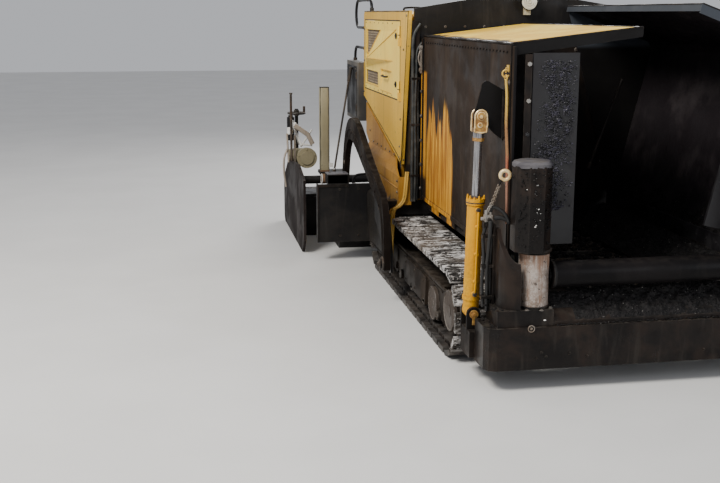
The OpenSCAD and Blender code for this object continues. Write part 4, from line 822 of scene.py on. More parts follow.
def ledge_crust():
    form = Form()

    def place(u, v):
        x = -395 + 905 * u
        if v < 0.7:
            t = v / 0.7
            return (x, -36 + 136 * t, 374 + 128 * t * 0.985), (0, -0.68, 0.73)
        t = (v - 0.7) / 0.3
        return (x, 100 + 56 * t, 500), (0, 0, 1)
    crust("asphalt_on_ledge", place, (150, 34), 16, 3.1, rough=1.15)

    def thin(u, v):
        return (-515 + 125 * u, 20 + 76 * v, 427 + 70 * v), (0, -0.68, 0.73)
    crust("asphalt_by_post", thin, (26, 16), 10, 8.4)
    spots = []
    for k in range(520):
        x, t = random.uniform(-500, 520), random.random()
        spots.append((x, -50 + 60 * t, 352 + random.uniform(0, 4) + max(0, t - 0.35) * 40))
    for k in range(260):
        side = random.choice((-1, 1))
        x, y = side * random.uniform(530, 860), random.uniform(-30, 150)
        spots.append((x, y, random.choice((351, 441)) if random.random() < 0.5 else 351))
    spots = [s for s in spots if not (s[2] > 400 and hypot(-abs(s[0]) - POST_FOOT[0],
                                                           s[1] - POST_FOOT[1]) < 96)]
    lumps(form, spots, 4, 11)
    form.make("stones_on_bumper", "asphalt_crust")
    for k in range(9):
        x = -505 + k * 128 + random.uniform(-8, 8)
        form.bolt((x, 130, 500), UP, 11)
    form.make("ledge_bolts", "worn_iron")


def flap_crumbs():
    form = Form()
    for side in NAMES:
        spots = []
        for k in range(4200):
            z = random.uniform(930, 1712)
            middle = 480 + 26 * sin((z - 800) / 150)
            x = random.gauss(middle, 42 + 22 * noise.noise(Vector((z * 0.01, 0, side))))
            thick = noise.noise(Vector((x * 0.024, z * 0.014, 5))) > -0.12
            if 372 < x < 600 and (thick or random.random() < 0.15):
                spots.append((-x, 148.6, z))
        lumps(form, spots, 4, 9)
        for v in form.bm.verts:
            v.co.y = min(v.co.y, mm(0, 149.3, 0).y)
        form.bolts(-632, 149, (860, 1090, 1335), FRONT, 13)
        form.on_wing("flap_crumbs", "crumb", side)
        form.bolts(-632, 149, (1508, 1696), FRONT, 15)
        form.on_wing("flap_studs", "bright_fitting", side, 1.0)
        form.block((-654, -616), (145.5, 149), (760, 1745))
        form.on_wing("flap_clamp", "grimy_black", side, 1.2)


# Wings
def wing_parts():
    form = Form()
    for side in NAMES:
        # Rolled rims along the roof's edges
        form.bent([(-722, 168, 1799), (-723, 700, 1800.5), (-722, 1300, 1799),
                   (-723, 2119, 1800)], 5.5, 8, 8)
        form.tube([(-715, 169, 1802), (-14, 169, 1881.5)], 4.5, 8)
        form.tube([(-12, 169, 1879), (-12, 2119, 1879)], 4.5, 8)
        form.on_wing("wing_rim", "grimy_black", side)
        # A strip at the foot and weld beads under the roof
        form.block((-731, -724), (185, 2088), (662, 690))
        for y in range(220, 2080, 62):
            form.block((-733.5, -724), (y, y + 30), (1752, 1760))
        form.on_wing("wing_strips", "worn_wing", side, 1.5)
        form.bolts(-739, 2102, range(740, 1760, 170), OUT, 12)
        for y, z in ((190, 1600), (190, 1330), (190, 1080)):
            form.bolt((-725, y, z), OUT, 13)
        form.on_wing("wing_bolts", "worn_iron", side)
        # Bright latch at the rear top of the wing
        form.block((-752, -740), (2090, 2112), (1545, 1735))
        form.rod((-758, 2101, 1720), (-738, 2101, 1720), 17, 18)
        form.rod((-758, 2101, 1570), (-738, 2101, 1570), 13, 18)
        form.bent([(-752, 2101, 1700), (-764, 2099, 1650), (-752, 2101, 1600)], 6, 8)
        form.on_wing("wing_latch", "bright_fitting", side, 1.2)
        # Weld beads on both sides of the lug, its foot plate and a shackle at its top
        form.block((-729, -724), (236, 304), (1312, 1566))
        for y in (259.5, 280.5):
            form.bent([(-731, y, 1302), (-732, y, 1430), (-731, y, 1552)], 5.5, 8)
        form.torus((-822, 270, 1581), (0.2, 1, 0.1), 17, 5, 26, 8)
        form.on_wing("lug_welds", "grimy_black", side)
        caked_corner(form, side)


def caked_corner(form, side):
    """A caked strip low on the wing's inner face."""
    nu, nv = 110, 10
    top, low = [], []
    for i in range(nu + 1):
        row_top, row_low = [], []
        for j in range(nv + 1):
            u, v = i / nu, j / nv
            y = 185 + 1895 * u
            z = 662 + 210 * v * (0.6 + 0.5 * noise.noise(Vector((y * 0.006, side, 2))))
            rim = max(0, min(u / 0.05, (1 - u) / 0.05, (1 - v) / 0.35, 1)) ** 0.7
            lump = noise.fractal(Vector((y, z, side * 40)) * 0.02, *FRACTAL)
            row_top.append(form.bm.verts.new(mm(-698.5 + max(0, 0.6 + lump) * 15 * rim, y, z)))
            row_low.append(form.bm.verts.new(mm(-699.5, y, z)))
        top.append(row_top)
        low.append(row_low)
    form.slab(top, low, ends=False)
    form.on_wing("caked_corner", "asphalt_crust", side)


# Cylinders, lock rod and chain at the front corners
def along(opened):
    """Base, top and direction of a wing cylinder for a right-hand piece, before mirroring."""
    a = radians(opened)
    hinge = Vector(WING_HINGE)
    d = Vector(ROD_PIN) - hinge
    top = hinge + Vector((d.x * cos(a) - d.y * sin(a), d.x * sin(a) + d.y * cos(a)))
    base = Vector(BARREL_BASE)
    return base, top, (top - base).normalized()


def wing_cylinders():
    form, faces, rims = Form(), Form(), Form()
    for side, opened in ((RIGHT, 0), (LEFT, LEFT_OPEN)):
        name = NAMES[side]
        base, top, d = along(opened)
        out = Vector((-d.y, d.x))

        def at(s, off=0.0, y=270.0):
            """The point s along the cylinder, off to its side."""
            p = base + d * s + out * off
            return (-side * p.x, y, p.y)
        reach = (top - base).length
        # Ragged collar, port blocks and a steel line along the barrel
        for k in range(11):
            a = k * 2 * pi / 11
            c, s = cos(a), sin(a)
            tip = 625 + random.uniform(4, 22)
            form.rod(at(613, 44 * c, 270 + 44 * s), at(tip, 45 * c, 270 + 45 * s), 8.5, 8, 4)
        for s in (570, 110):
            form.rod(at(s, 0, 222), at(s, 0, 206), 15, 16)
        form.bent([at(570, 0, 210), at(535, 0, 201), at(330, 0, 203), at(150, 0, 201),
                   at(110, 0, 210)], 6.5, 10)
        for s in (180, 330, 480):
            form.rod(at(s, 0, 198), at(s, 0, 224), 10, 12)
        form.make("barrel_fittings_" + name, "yellow_strong", "wing_barrel_" + name, 0.8)
        for s, r, w in ((600, 51, 7), (631, 30, 8)):
            form.rod(at(s), at(s + w), r, 36)
        for s in (570, 110):
            form.bolt(at(s, 0, 206), FRONT, 12)
        form.make("barrel_rings_" + name, "worn_iron", "wing_barrel_" + name, 1.0)
        # Golden fork faces with a raised rim, the pin's head, a grease bolt and a lock nut under the crown.
        # The pale rims and rings are painted highlights along the edges; the small pale disc on each pin head
        # is a painted glint.
        ring = [at(reach - 83, 32), at(reach - 83, -32)]
        for k in range(15):
            a = pi * k / 14
            ring.append(at(reach + 32 * sin(a), -32 * cos(a)))
        for y, s in ((240, -1), (300, 1)):
            outline = [(p[0], p[2]) for p in ring]
            faces.prism("y", outline, min(y, y + s * 3), max(y, y + s * 3))
            rims.bent([(p[0], y + s * 3, p[2]) for p in ring + ring[:1]], 4.2, 8, 2)
            faces.rod(at(reach, 0, y), at(reach, 0, y + s * 13), 19, 28)
            rims.torus(at(reach, 0, y + s * 5), REAR, 20, 3.4, 30, 8)
            rims.rod(at(reach - 3, 3, y + s * 13), at(reach - 3, 3, y + s * 18), 9, 16)
            rims.torus(at(reach - 47, 4, y + s * 4), REAR, 11, 3.6, 22, 8)
            faces.rod(at(reach - 47, 4, y), at(reach - 47, 4, y + s * 8), 8, 16)
        faces.rod(at(reach - 134), at(reach - 112), 31, 6)
        faces.make("rod_fork_" + name, "fork_gold", "wing_rod_" + name)
        rims.make("fork_highlight_rim_" + name, "fork_cream", "wing_rod_" + name)
        # Base pin's heads
        for y, s in ((205, -1), (335, 1)):
            form.rod(at(0, 0, y), at(0, 0, y + s * 9), 24, 24)
            form.bolt(at(0, 0, y + s * 9), (0, s, 0), 12)
            x = at(0)[0]
            form.block((x - 8, x + 8), (y + s - 3, y + s + 3), (300, 336))
        form.make("base_pin_" + name, "fork_gold", bevel=0.8)


def lock_rod():
    """A thin copper-coloured rod hangs from an eye on each wing and passes through a ring by the post."""
    form = Form()
    for side in NAMES:
        form.torus((-738, 200, 1646), (0.25, 1, 0.1), 19, 5, 28, 8)
        form.torus((-738, 200, 1626), (1, 0.3, 0), 12, 4.5, 24, 8)
        form.bent([(-738, 196, 1618), (-735, 184, 1520), (-739, 170, 1380), (-736, 150, 1230),
                   (-738, 130, 1060), (-736, 126, 870)], 8.5, 10)
        form.block((-730, -724), (186, 220), (1655, 1690))
        form.rod((-740, 203, 1672), (-726, 203, 1672), 7, 12)
        form.rod((-738, 202, 1650), (-740, 203, 1672), 5, 10)
        form.on_wing("lock_rod", "lock_copper", side, 0.6)
    form.torus((-773, 58, 1138), (0.25, 1, 0.1), 24, 10, 34, 12)
    form.make("lock_ring", "fork_cream", both=True)
    form.rod((-742, 54, 1134), (-724, 46, 1130), 7, 12)
    form.rod((-790, 62, 1114), (-802, 66, 1088), 6, 12)
    form.make("ring_stem", "grimy_black", both=True)
    # Chain from the ring down to the cylinder's side
    links = curve([(-802, 66, 1082), (-812, 76, 1046), (-822, 90, 1004), (-836, 106, 962),
                   (-844, 116, 938)], 4)
    for k, p in enumerate(links):
        q = links[min(k + 1, len(links) - 1)]
        r = links[max(k - 1, 0)]
        lean = (Vector(q) - Vector(r)).normalized()
        other = lean.cross(Vector((0, 1, 0))).normalized()
        axis = other if k % 2 else lean.cross(other)
        form.torus(p, axis, 8.5, 2.9, 14, 8)
    form.make("lock_chain", "bright_fitting", both=True)


def corner_fittings():
    """Valve block, fittings and clamped lines behind the curved corner plates."""
    form = Form()
    form.block((-862, -822), (96, 130), (888, 924))
    form.rod((-852, 113, 924), (-852, 113, 948), 9, 6)
    form.rod((-830, 113, 924), (-830, 113, 942), 9, 6)
    form.rod((-862, 112, 904), (-880, 112, 904), 10, 6)
    form.bolt((-832, 96, 912), FRONT, 7)
    form.make("valve_block", "bright_fitting", bevel=2.0, both=True)
    form.rod((-840, 96, 898), (-840, 74, 898), 12, 6)
    form.block((-868, -816), (98, 134), (858, 888))
    form.bolt((-850, 98, 872), FRONT, 8)
    form.make("valve_foot", "grimy_black", bevel=2.0, both=True)
    form.bent([(-830, 113, 940), (-822, 108, 962), (-795, 98, 958), (-760, 88, 930),
               (-740, 80, 890)], 10, 12)
    form.bent([(-812, 108, 905), (-780, 104, 908), (-748, 96, 898), (-733, 84, 880)], 12, 12)
    form.bent([(-840, 76, 898), (-842, 70, 840), (-838, 96, 760), (-842, 112, 640), (-838, 118, 520),
               (-832, 130, 400)], 10, 12)
    form.bent([(-850, 118, 862), (-862, 128, 800), (-856, 126, 690), (-862, 128, 560),
               (-850, 140, 420)], 9, 12)
    form.bent([(-824, 120, 862), (-815, 124, 780), (-820, 126, 660), (-818, 128, 520),
               (-815, 140, 400)], 8, 12)
    form.make("corner_hoses", "dark_hose", both=True)
    for z in (470, 640, 800):
        form.block((-872, -800), (104, 134), (z, z + 16))
        form.bolt((-806, 104, z + 8), FRONT, 7)
    form.block((-812, -800), (100, 134), (380, 872))
    form.make("hose_clamps", "grimy_black", bevel=1.5, both=True)


def by_post(a, r, z):
    """A point at an angle and a distance from the right post's axis."""
    return (POST[0] + r * cos(a), POST[1] + r * sin(a), z)


def post_parts():
    form = Form()
    # Collar rings round the foot
    form.torus((*POST_FOOT, 748), UP, 84, 9, 48, 10)
    form.torus((*POST_FOOT, 735), UP, 81.5, 4, 48, 8)
    form.make("post_collars", "grimy_black", bevel=1.0, both=True)
    # Ragged disc caked on the cap's top
    rings = [[], [], []]
    for k in range(56):
        a = 2 * pi * k / 56
        r = 101 + 3.5 * sin(5 * a) + random.uniform(-2, 2)
        for ring, share, z in zip(rings, (1.0, 1.0, 0.90), (1187 - random.uniform(0, 5), 1202, 1214)):
            ring.append(by_post(a, share * r, z))
    form.loft(rings)
    form.make("cap_disc", "cap_grey", bevel=1.0, both=True)
    # Painted glints: small white lumps on the cap's face and one on the bumper stand for sparkles of light on
    # wet tar
    spots = [(-573, -60, 388)]
    for a, z in ((-1.64, 1103), (-1.60, 1100), (-2.14, 1076), (-1.49, 976), (-1.38, 954), (-1.36, 919),
                 (-1.65, 885), (-1.60, 893)):
        spots.append(by_post(a, 96, z))
    lumps(form, spots, 3.5, 7.5)
    glint_specks = []
    for k in range(16):
        a = random.uniform(-1.95, -1.0)
        glint_specks.append(by_post(a, 96, random.uniform(850, 1175)))
    lumps(form, glint_specks, 1.2, 2.6, 0.9)
    form.make("painted_glints", "white_box", both=True)
    form.bolt_ring((*POST_FOOT, 440), UP, 97, 8, 10, 10)
    form.make("post_bolts", "worn_iron", both=True)
    form.torus((-645, -62, 345), REAR, 17, 3.0, 28, 8)
    form.bolt((-645, -60, 345), FRONT, 7)
    form.make("bumper_ring", "bright_fitting", both=True)
    for x, z in ((-585, 212), (-560, 188), (-610, 180), (-430, 200), (-330, 180)):
        form.bolt((x, -60, z), FRONT, 8)
    form.make("bumper_bolts", "grimy_black", both=True)
    spots = []
    for k in range(210):
        a = random.uniform(-2.6, -0.3)
        spots.append(by_post(a, 100, random.uniform(760, 1180)))
    lumps(form, spots, 3, 8)
    form.make("post_stones", "asphalt_crust", both=True)
    # End rings of the push roller
    roller = (30, 610)
    for x in (-518, 505):
        form.rod((x, *roller), (x + 13, *roller), 73, 48)
    for x in (-527, 527):
        form.torus((x, *roller), INWARD, 30, 5, 30, 8)
    form.make("roller_rings", "black_paint", "push_roller", 1.5)


def hopper_parts():
    form = Form()
    # Thin prop rod inside, leaning on the folded wing's wall
    form.tube([(338, 1200, 1545), (152, 1200, 1025)], 9, 10)
    form.rod((152, 1200, 1025), (140, 1200, 990), 14, 10)
    form.make("hopper_scraper", "grimy_black")
    # Dark rubber strips along the floor's edges in front of the wings' hinges: they shut out the light
    # between the hinge knuckles, a dark sheet standing in for shade
    form.prism("y",
               [(-663, 576), (-656, 576), (-656, 660), (-661, 688), (-668, 690), (-663, 655)], 196, 2096)
    form.bolts(-656, range(240, 2090, 120), 640, INWARD, 8)
    form.make("hinge_shade_strips", "rubber_black", bevel=2.0, both=True)
    form.bolts((-620, -390, -130, 130, 390, 620), 2135, (900, 1160, 1420, 1700), FRONT, 12)
    form.make("wall_bolts", "worn_iron")

    def slope(side):
        def place(u, v):
            y = 175 + 1940 * u
            x = side * (650 - 340 * v)
            z = 591 - (591 - 487) * v
            return (x, y, z), (side * -0.3, 0, 0.95)
        return place
    for side, name in SIDES:
        crust("asphalt_floor_" + name, slope(side), (130, 22), 20, 11.0 * side, 0.05, 1.2)
    spots = [(random.uniform(-300, 300), random.uniform(260, 2100), 484) for k in range(700)]
    lumps(form, spots, 7, 20)
    form.make("stones_on_conveyor", "asphalt_crust")


# Engine housing and doors
def woven(form, y, z, x, pitch, wire=1.5):
    """A woven wire screen in the plane across x, clipped to its window by straight wires."""
    for k in range(int((y[1] - y[0]) / pitch) + 1):
        at = y[0] + k * pitch
        form.tube([(x - wire, at, z[0]), (x + wire, at, (z[0] + z[1]) / 2), (x - wire, at, z[1])], wire, 5)
    for k in range(int((z[1] - z[0]) / pitch) + 1):
        at = z[0] + k * pitch
        form.tube([(x + wire, y[0], at), (x - wire, (y[0] + y[1]) / 2, at), (x + wire, y[1], at)], wire, 5)


def door_parts():
    form = Form()
    windows = ((3185, 3760), (1640, 1822)), ((3255, 3785), (1388, 1493))
    for side, name in SIDES:
        body = "service_door_" + name
        for y, z in windows:
            woven(form, y, z, -812, 14)
        form.on_side("door_mesh", "wire_mesh", side, body)
        # Rim strips round both windows and a lip round the grip pocket
        for y, z in windows:
            form.block((-828, -824), (y[0] - 12, y[1] + 12), (z[0] - 12, z[0] - 4))
            form.block((-828, -824), (y[1] + 4, y[1] + 12), (z[0] - 12, z[1] + 12))
        form.tube([(SKIN, 2730, 1525), (SKIN, 3145, 1525)], 3, 8)
        form.tube([(SKIN, 2730, 1360), (SKIN, 3145, 1360)], 2.5, 8)
        form.on_side("door_rims", "mustard_paint", side, body, 0.8)
        # Two flush latches and the lifting handle in the pocket
        form.rod((SKIN, 2560, 1440), (-832, 2560, 1440), 22, 24)
        form.rod((-832, 2560, 1440), (-835, 2560, 1440), 14, 18)
        form.block((-837, -832), (2546, 2574), (1436, 1444))
        form.rod((SKIN, 2560, 1790), (-832, 2560, 1790), 22, 24)
        form.block((-836, -831), (2546, 2574), (1786, 1794))
        form.bent([(-828, 2850, 1480), (-846, 2856, 1478), (-848, 2935, 1478), (-846, 3014, 1478),
                   (-828, 3020, 1480)], 7, 10)
        form.on_side("door_latches", "black_paint", side, body, 0.8)
        form.bolts(SKIN, 2475, (1400, 1450, 1790, 1850), OUT, 6, False)
        for y in range(2700, 3800, 180):
            form.rod((-825.5, y, 1350), (-828, y, 1350), 5, 12)
            form.rod((-825.5, y, 1878), (-828, y, 1878), 5, 12)
        form.on_side("door_screws", "worn_iron", side, body)
        # Folds of the pyramid scoop, as thin welded beads
        tip = (-887, 3430, 1598)
        for foot in ((3155, 1826), (2554, 1839), (2694, 1602), (3760, 1514)):
            form.tube([(SKIN, foot[0], foot[1]), tip], 2.4, 8)
        form.on_side("scoop_folds", "mustard_paint", side, body)


def hood_parts():
    form = Form()
    # Rolled edge over the grille, and handles
    form.bent([(-420, 2196, 1990), (-425, 2187, 2000), (-300, 2186, 2012), (-140, 2186, 2014)], 6, 8)
    form.bent([(180, 2186, 2014), (300, 2186, 2012), (425, 2187, 2000), (420, 2196, 1990)], 6, 8)
    for x in (-560, 560):
        form.bent([(x - 70, 3200, 1962), (x - 60, 3200, 1992), (x + 60, 3200, 1992),
                   (x + 70, 3200, 1962)], 8, 12)
    form.make("hood_handles", "black_paint", "hood")
    for y in range(2280, 3340, 150):
        for x in (-770, 770):
            form.rod((x, y, 1935), (x * 1.004, y, 1941), 8, 14)
    for k in range(8):
        y = 2690 + k * 46
        form.prism("x", [(y + 22, 1963), (y + 26, 1963), (y + 8, 1976), (y + 2, 1976)], -420, -100)
    form.make("hood_louvres", "mustard_paint", "hood", 0.6)
    # Pressed rails on the hood's front half
    for x in (-250, 250):
        form.block((x - 18, x + 18), (2230, 2630), (1962, 1969))
    form.make("hood_ribs", "mustard_paint", "hood", 3.0)


def panel_parts():
    form = Form()
    # Hinge knuckle caps and fixings of the side panels
    for z in (1410, 1795):
        form.rod((-834, 2426, z), (-834, 2426, z + 6), 10.5, 18)
    for y, z in ((2200, 1935), (2290, 1700), (2380, 1200), (2405, 1000), (3860, 1300), (3860, 1560),
                 (3860, 1820)):
        form.bolt((-825, y + 10, z), OUT, 8)
    form.make("panel_bolts", "worn_iron", both=True)
    form.tube([(SKIN, 2152, 1965), (SKIN, 3862, 1966)], 3, 8)
    form.bent([(SKIN, 2157, 1962), (SKIN, 2262, 1430), (SKIN, 2368, 884), (SKIN, 2500, 935),
               (SKIN, 3880, 1257)], 3, 8)
    form.make("panel_edges", "black_paint", both=True)
    # Rubber seal round the door's opening
    for z in (1330, 1900):
        form.tube([(-824, 2420, z), (-824, 3840, z)], 3.5, 8)
    for y in (2420, 3840):
        form.tube([(-824, y, 1330), (-824, y, 1900)], 3.5, 8)
    form.make("door_seals", "rubber_black", both=True)
    # Hoses on the black column in front of the panels, and their rack
    form.bent([(-790, 2146, 640), (-792, 2142, 900), (-788, 2140, 1300), (-793, 2142, 1640),
               (-786, 2146, 1800), (-740, 2152, 1880)], 12, 12)
    form.bent([(-772, 2140, 640), (-770, 2132, 960), (-776, 2134, 1280), (-768, 2136, 1560),
               (-760, 2148, 1700), (-700, 2154, 1780)], 10, 12)
    form.bent([(-755, 2148, 650), (-752, 2142, 1100), (-756, 2146, 1420), (-745, 2152, 1500)], 8, 10)
    form.make("column_hoses", "hose_rubber", both=True)
    for z in (820, 1180, 1500):
        form.block((-806, -744), (2124, 2160), (z, z + 14))
    form.block((-800, -745), (2150, 2162), (655, 1900))
    form.make("hose_rack", "grimy_black", bevel=1.5, both=True)
    # The front panel's fixings
    form.bolts(range(-700, 701, 140), 2165, (1100, 1500, 1860), FRONT, 8)
    form.make("bulkhead_bolts", "worn_iron")


def fender_parts():
    form = Form()
    for y in range(2230, 3680, 165):
        form.bolt((-833, y, 925 if y < 3400 else 1000), OUT, 8)
    for z in (300, 420, 700, 780):
        x = -956 if z < 545 else -886
        form.bolt((x, 2200, z), OUT, 9)
    form.make("fender_bolts", "worn_iron", both=True)
    # Stiffening beads pressed along the skirt, and a rolled lower lip
    form.tube([(-956, 2168, 205), (-956, 2900, 205)], 5, 8)
    form.bent([(-887, 2180, 730), (-889, 2400, 730), (-889, 2900, 730), (-887, 3050, 730)], 6, 8)
    form.bent([(-957, 2180, 470), (-958, 2500, 470), (-957, 2960, 470)], 6, 8)
    form.make("fender_beads", "fender_paint", both=True)
    # The front lip, in a lighter gold that carries a painted highlight
    path = [(-942, 185), (-939, 325), (-932, 471), (-926, 572), (-884, 606), (-852, 648), (-840, 722),
            (-830, 850)]
    for dx, y in ((0, 2158), (13, 2157)):
        form.bent([(x + dx, y, z) for x, z in path], 9, 10)
    form.make("fender_lip", "lip_gold", both=True)


# Operator's station
def cushion(centre, size, name, upright=False):
    """A crowned foam cushion with sewn channels: a cube's grid pressed into a soft round form."""
    form = Form()
    bmesh.ops.create_cube(form.bm, size=2.0)
    bmesh.ops.subdivide_edges(form.bm, edges=form.bm.edges[:], cuts=26, use_grid_fill=True)
    for v in form.bm.verts:
        x, y, z = v.co
        wide = (abs(x) ** 5 + abs(y) ** 5) ** (1 / 5)
        scale = 1 / max(1e-6, (wide ** 3.2 + abs(z) ** 3.2) ** (1 / 3.2))
        flat = max(abs(x), abs(y), 1e-6)
        x, y, z = x * scale, y * scale, z * scale
        corner = (abs(x) ** 6 + abs(y) ** 6) ** (1 / 6)
        if corner > 1:
            x, y = x / corner, y / corner
        groove = sum(exp(-((x - seam) / 0.035) ** 2) for seam in (-0.36, 0.36))
        groove += exp(-((abs(y) - 0.78) / 0.04) ** 2) * 0.7
        z *= 1 - 0.17 * groove * (1 - 0.6 * flat ** 4)
        wrinkle = noise.noise(Vector((x * 3.1, y * 5.0, z + centre[0] * 0.01))) * 0.05
        z *= 1 + wrinkle + noise.noise(Vector((x * 9, y * 14, z))) * 0.02
        local = (x, z, y) if upright else (x, y, z)
        v.co = mm(*(c + p * s / 2 for c, p, s in zip(centre, local, size)))
    return form.make(name, "seat_vinyl")


def station_parts():
    form = Form()
    seat_x, seat_y = 520, 3852
    wheel = (0, 3502, 1908)
    for side, name in SIDES:
        pad = cushion((side * seat_x, seat_y, 1530), (392, 296, 80), "seat_cushion_" + name)
        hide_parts("seat_pad_" + name)
        back = cushion((side * seat_x, 4001, 1766), (392, 76, 380), "seat_backrest_" + name, True)
        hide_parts("seat_back_" + name)
    for side in NAMES:
        x = side * seat_x
        form.rod((x, seat_y, 1180), (x, seat_y, 1440), 34, 24)
        for k in range(5):
            form.torus((x, seat_y, 1210 + k * 34), UP, 62 - k * 2, 10, 28, 8)
        form.rod((x + side * 170, 3760, 1450), (x + side * 170, 3700, 1466), 8, 12)
        form.rod((x + side * 170, 3702, 1466), (x + side * 170, 3672, 1474), 13, 14)
    form.make("seat_bellows", "rubber_black")
    # Console: two rows of gauges, switches, levers and a small wheel
    gauges = [side * (120 + k * 95) for side in NAMES for k in range(3)]
    tilt = (0, 0.4, 1)
    for x in gauges:
        form.rod((x, 3552, 1758), (x, 3558, 1774), 38, 28)
        form.torus((x, 3558, 1774), tilt, 36, 5, 28, 8)
    for x in [side * (90 + k * 50) for side in NAMES for k in range(6)]:
        form.rod((x, 3500, 1800), (x, 3508, 1822), 7, 10)
    form.rod((0, 3470, 1840), (0, 3500, 1905), 16, 16)
    form.torus(wheel, tilt, 95, 9, 40, 10)
    for k in range(3):
        a = radians(90 + 120 * k)
        form.rod(wheel, (90 * cos(a), 3502 + 84 * sin(a), 1908 - 34 * sin(a)), 6, 8)
    form.rod((0, 3496, 1896), (0, 3508, 1918), 22, 18)
    for side in NAMES:
        form.rod((side * 320, 3560, 1755), (side * 335, 3590, 1860), 8, 10)
        form.bent([(side * 250, 3552, 1735), (side * 250, 3572, 1735), (side * 250, 3576, 1735)], 14, 10)
        form.block((side * 405 - 30, side * 405 + 30), (3556, 3580), (1640, 1690))
    form.make("console_controls", "black_paint", bevel=1.0)
    for side in NAMES:
        form.bent([(side * 335, 3588, 1850), (side * 337, 3594, 1872), (side * 339, 3600, 1893)], 19, 14)
        for k in range(2):
            form.rod((side * (90 + k * 150), 3508, 1822), (side * (90 + k * 150), 3512, 1832), 13, 14)
    form.make("console_knobs", "red_knob")
    for x in gauges:
        form.rod((x, 3559, 1775.5), (x, 3560, 1778), 32, 28)
    form.make("gauge_glasses", "lamp_lens")
    form.prism("x", [(3352, 1884), (3418, 1884), (3424, 1878), (3352, 1878)], -458, 458)
    form.bolts(range(-400, 401, 200), 3440, 1300, REAR, 8)
    form.make("console_trim", "black_paint", bevel=1.0)
    # Toe boards round the deck
    for side in NAMES:
        form.block((side * 795 - 5, side * 795 + 5), (3900, 4495), (1110, 1160))
    form.block((-800, 800), (4488, 4500), (1110, 1152))
    form.make("toe_boards", "grimy_black", bevel=1.5)
    # Rail sockets and clamps
    for x in (-812.5, 812.5):
        form.rod((x, 3600, 1968), (x, 3600, 1995), 17, 18)
        form.rod((x, 4410, 1538), (x, 4410, 1562), 18, 18)
        for z in (1830, 1660):
            form.rod((x, 3898, z), (x, 3926, z), 18, 18)
        for y in (3760, 4150):
            form.rod((x, y, 2060), (x, y + 26, 2060), 14.5, 18)
    form.make("rail_sockets", "worn_iron", bevel=1.0)
    # Locker lids with hinges and a catch
    for s in NAMES:
        face = s * 880
        form.block(sorted((face, face + s * 3.5)), (3945, 4440), (1075, 1505))
    form.make("locker_doors", "black_paint", bevel=1.5)
    for s in NAMES:
        out = s * 884
        for z in (1150, 1430):
            form.rod((out, 3938, z - 28), (out, 3938, z + 28), 7, 12)
        form.rod((out - 2, 4400, 1290), (out + s * 6, 4400, 1290), 22, 20)
        form.block((out + s * 5 - 4, out + s * 5 + 4), (4394, 4406), (1262, 1318))
        for y, z in ((3970, 1100), (4415, 1100), (3970, 1480), (4415, 1480)):
            form.bolt((out, y, z), (s, 0, 0), 6)
    form.make("locker_catches", "worn_iron", bevel=0.8)


def top_parts():
    form = Form()
    pipe = (680, 3240)
    # Rain flap on the exhaust, its clamps and the bolts round its foot
    form.rod((*pipe, 2088), (*pipe, 2096), 41, 28)
    form.rod((*pipe, 1930), (*pipe, 1952), 43, 28)
    form.bolt((724, 3240, 1941), INWARD, 7)
    form.torus((*pipe, 1915), UP, 47, 6, 32, 8)
    form.bolt_ring((*pipe, 1912), UP, 50, 6, 6)
    form.make("exhaust_clamps", "worn_iron")
    for r, y in ((52, 2094), (42, 2092.5), (28, 2091), (12, 2090)):
        form.torus((20, y, 2030), REAR, r, 2.6, 40, 8)
    form.rod((20, 2092, 2030), (20, 2094, 2030), 55, 40)
    form.make("lamp_glass", "lamp_lens")
    form.torus((20, 2095, 2030), REAR, 56.5, 4, 44, 8)
    form.bent([(-38, 2112, 1995), (-46, 2112, 2030), (-30, 2118, 2085), (20, 2120, 2090), (70, 2118, 2085),
               (86, 2112, 2030), (78, 2112, 1995)], 4.5, 8)
    form.bolt((-44, 2112, 2030), OUT, 9)
    form.bolt((84, 2112, 2030), INWARD, 9)
    form.bent([(20, 2156, 2030), (22, 2170, 2018), (24, 2172, 1985), (24, 2178, 1965)], 5, 8)
    form.make("lamp_rim", "black_paint")


# Tracks
def on_loop(s, r):
    """Place and outward direction of the point s along a track's loop, r off the chain wheels' centres."""
    half = pi * TRACK_PATH
    far = IDLER_Y + TRACK_BASE
    if s < TRACK_BASE:
        y, turn = IDLER_Y + s, 0.0
    elif s < TRACK_BASE + half:
        y, turn = far, (s - TRACK_BASE) / TRACK_PATH
    elif s < 2 * TRACK_BASE + half:
        y, turn = far - (s - TRACK_BASE - half), pi
    else:
        y, turn = IDLER_Y, pi + (s - 2 * TRACK_BASE - half) / TRACK_PATH
    normal = Vector((0, sin(turn), -cos(turn)))
    return Vector((0, y, IDLER_Z)) + normal * r, normal


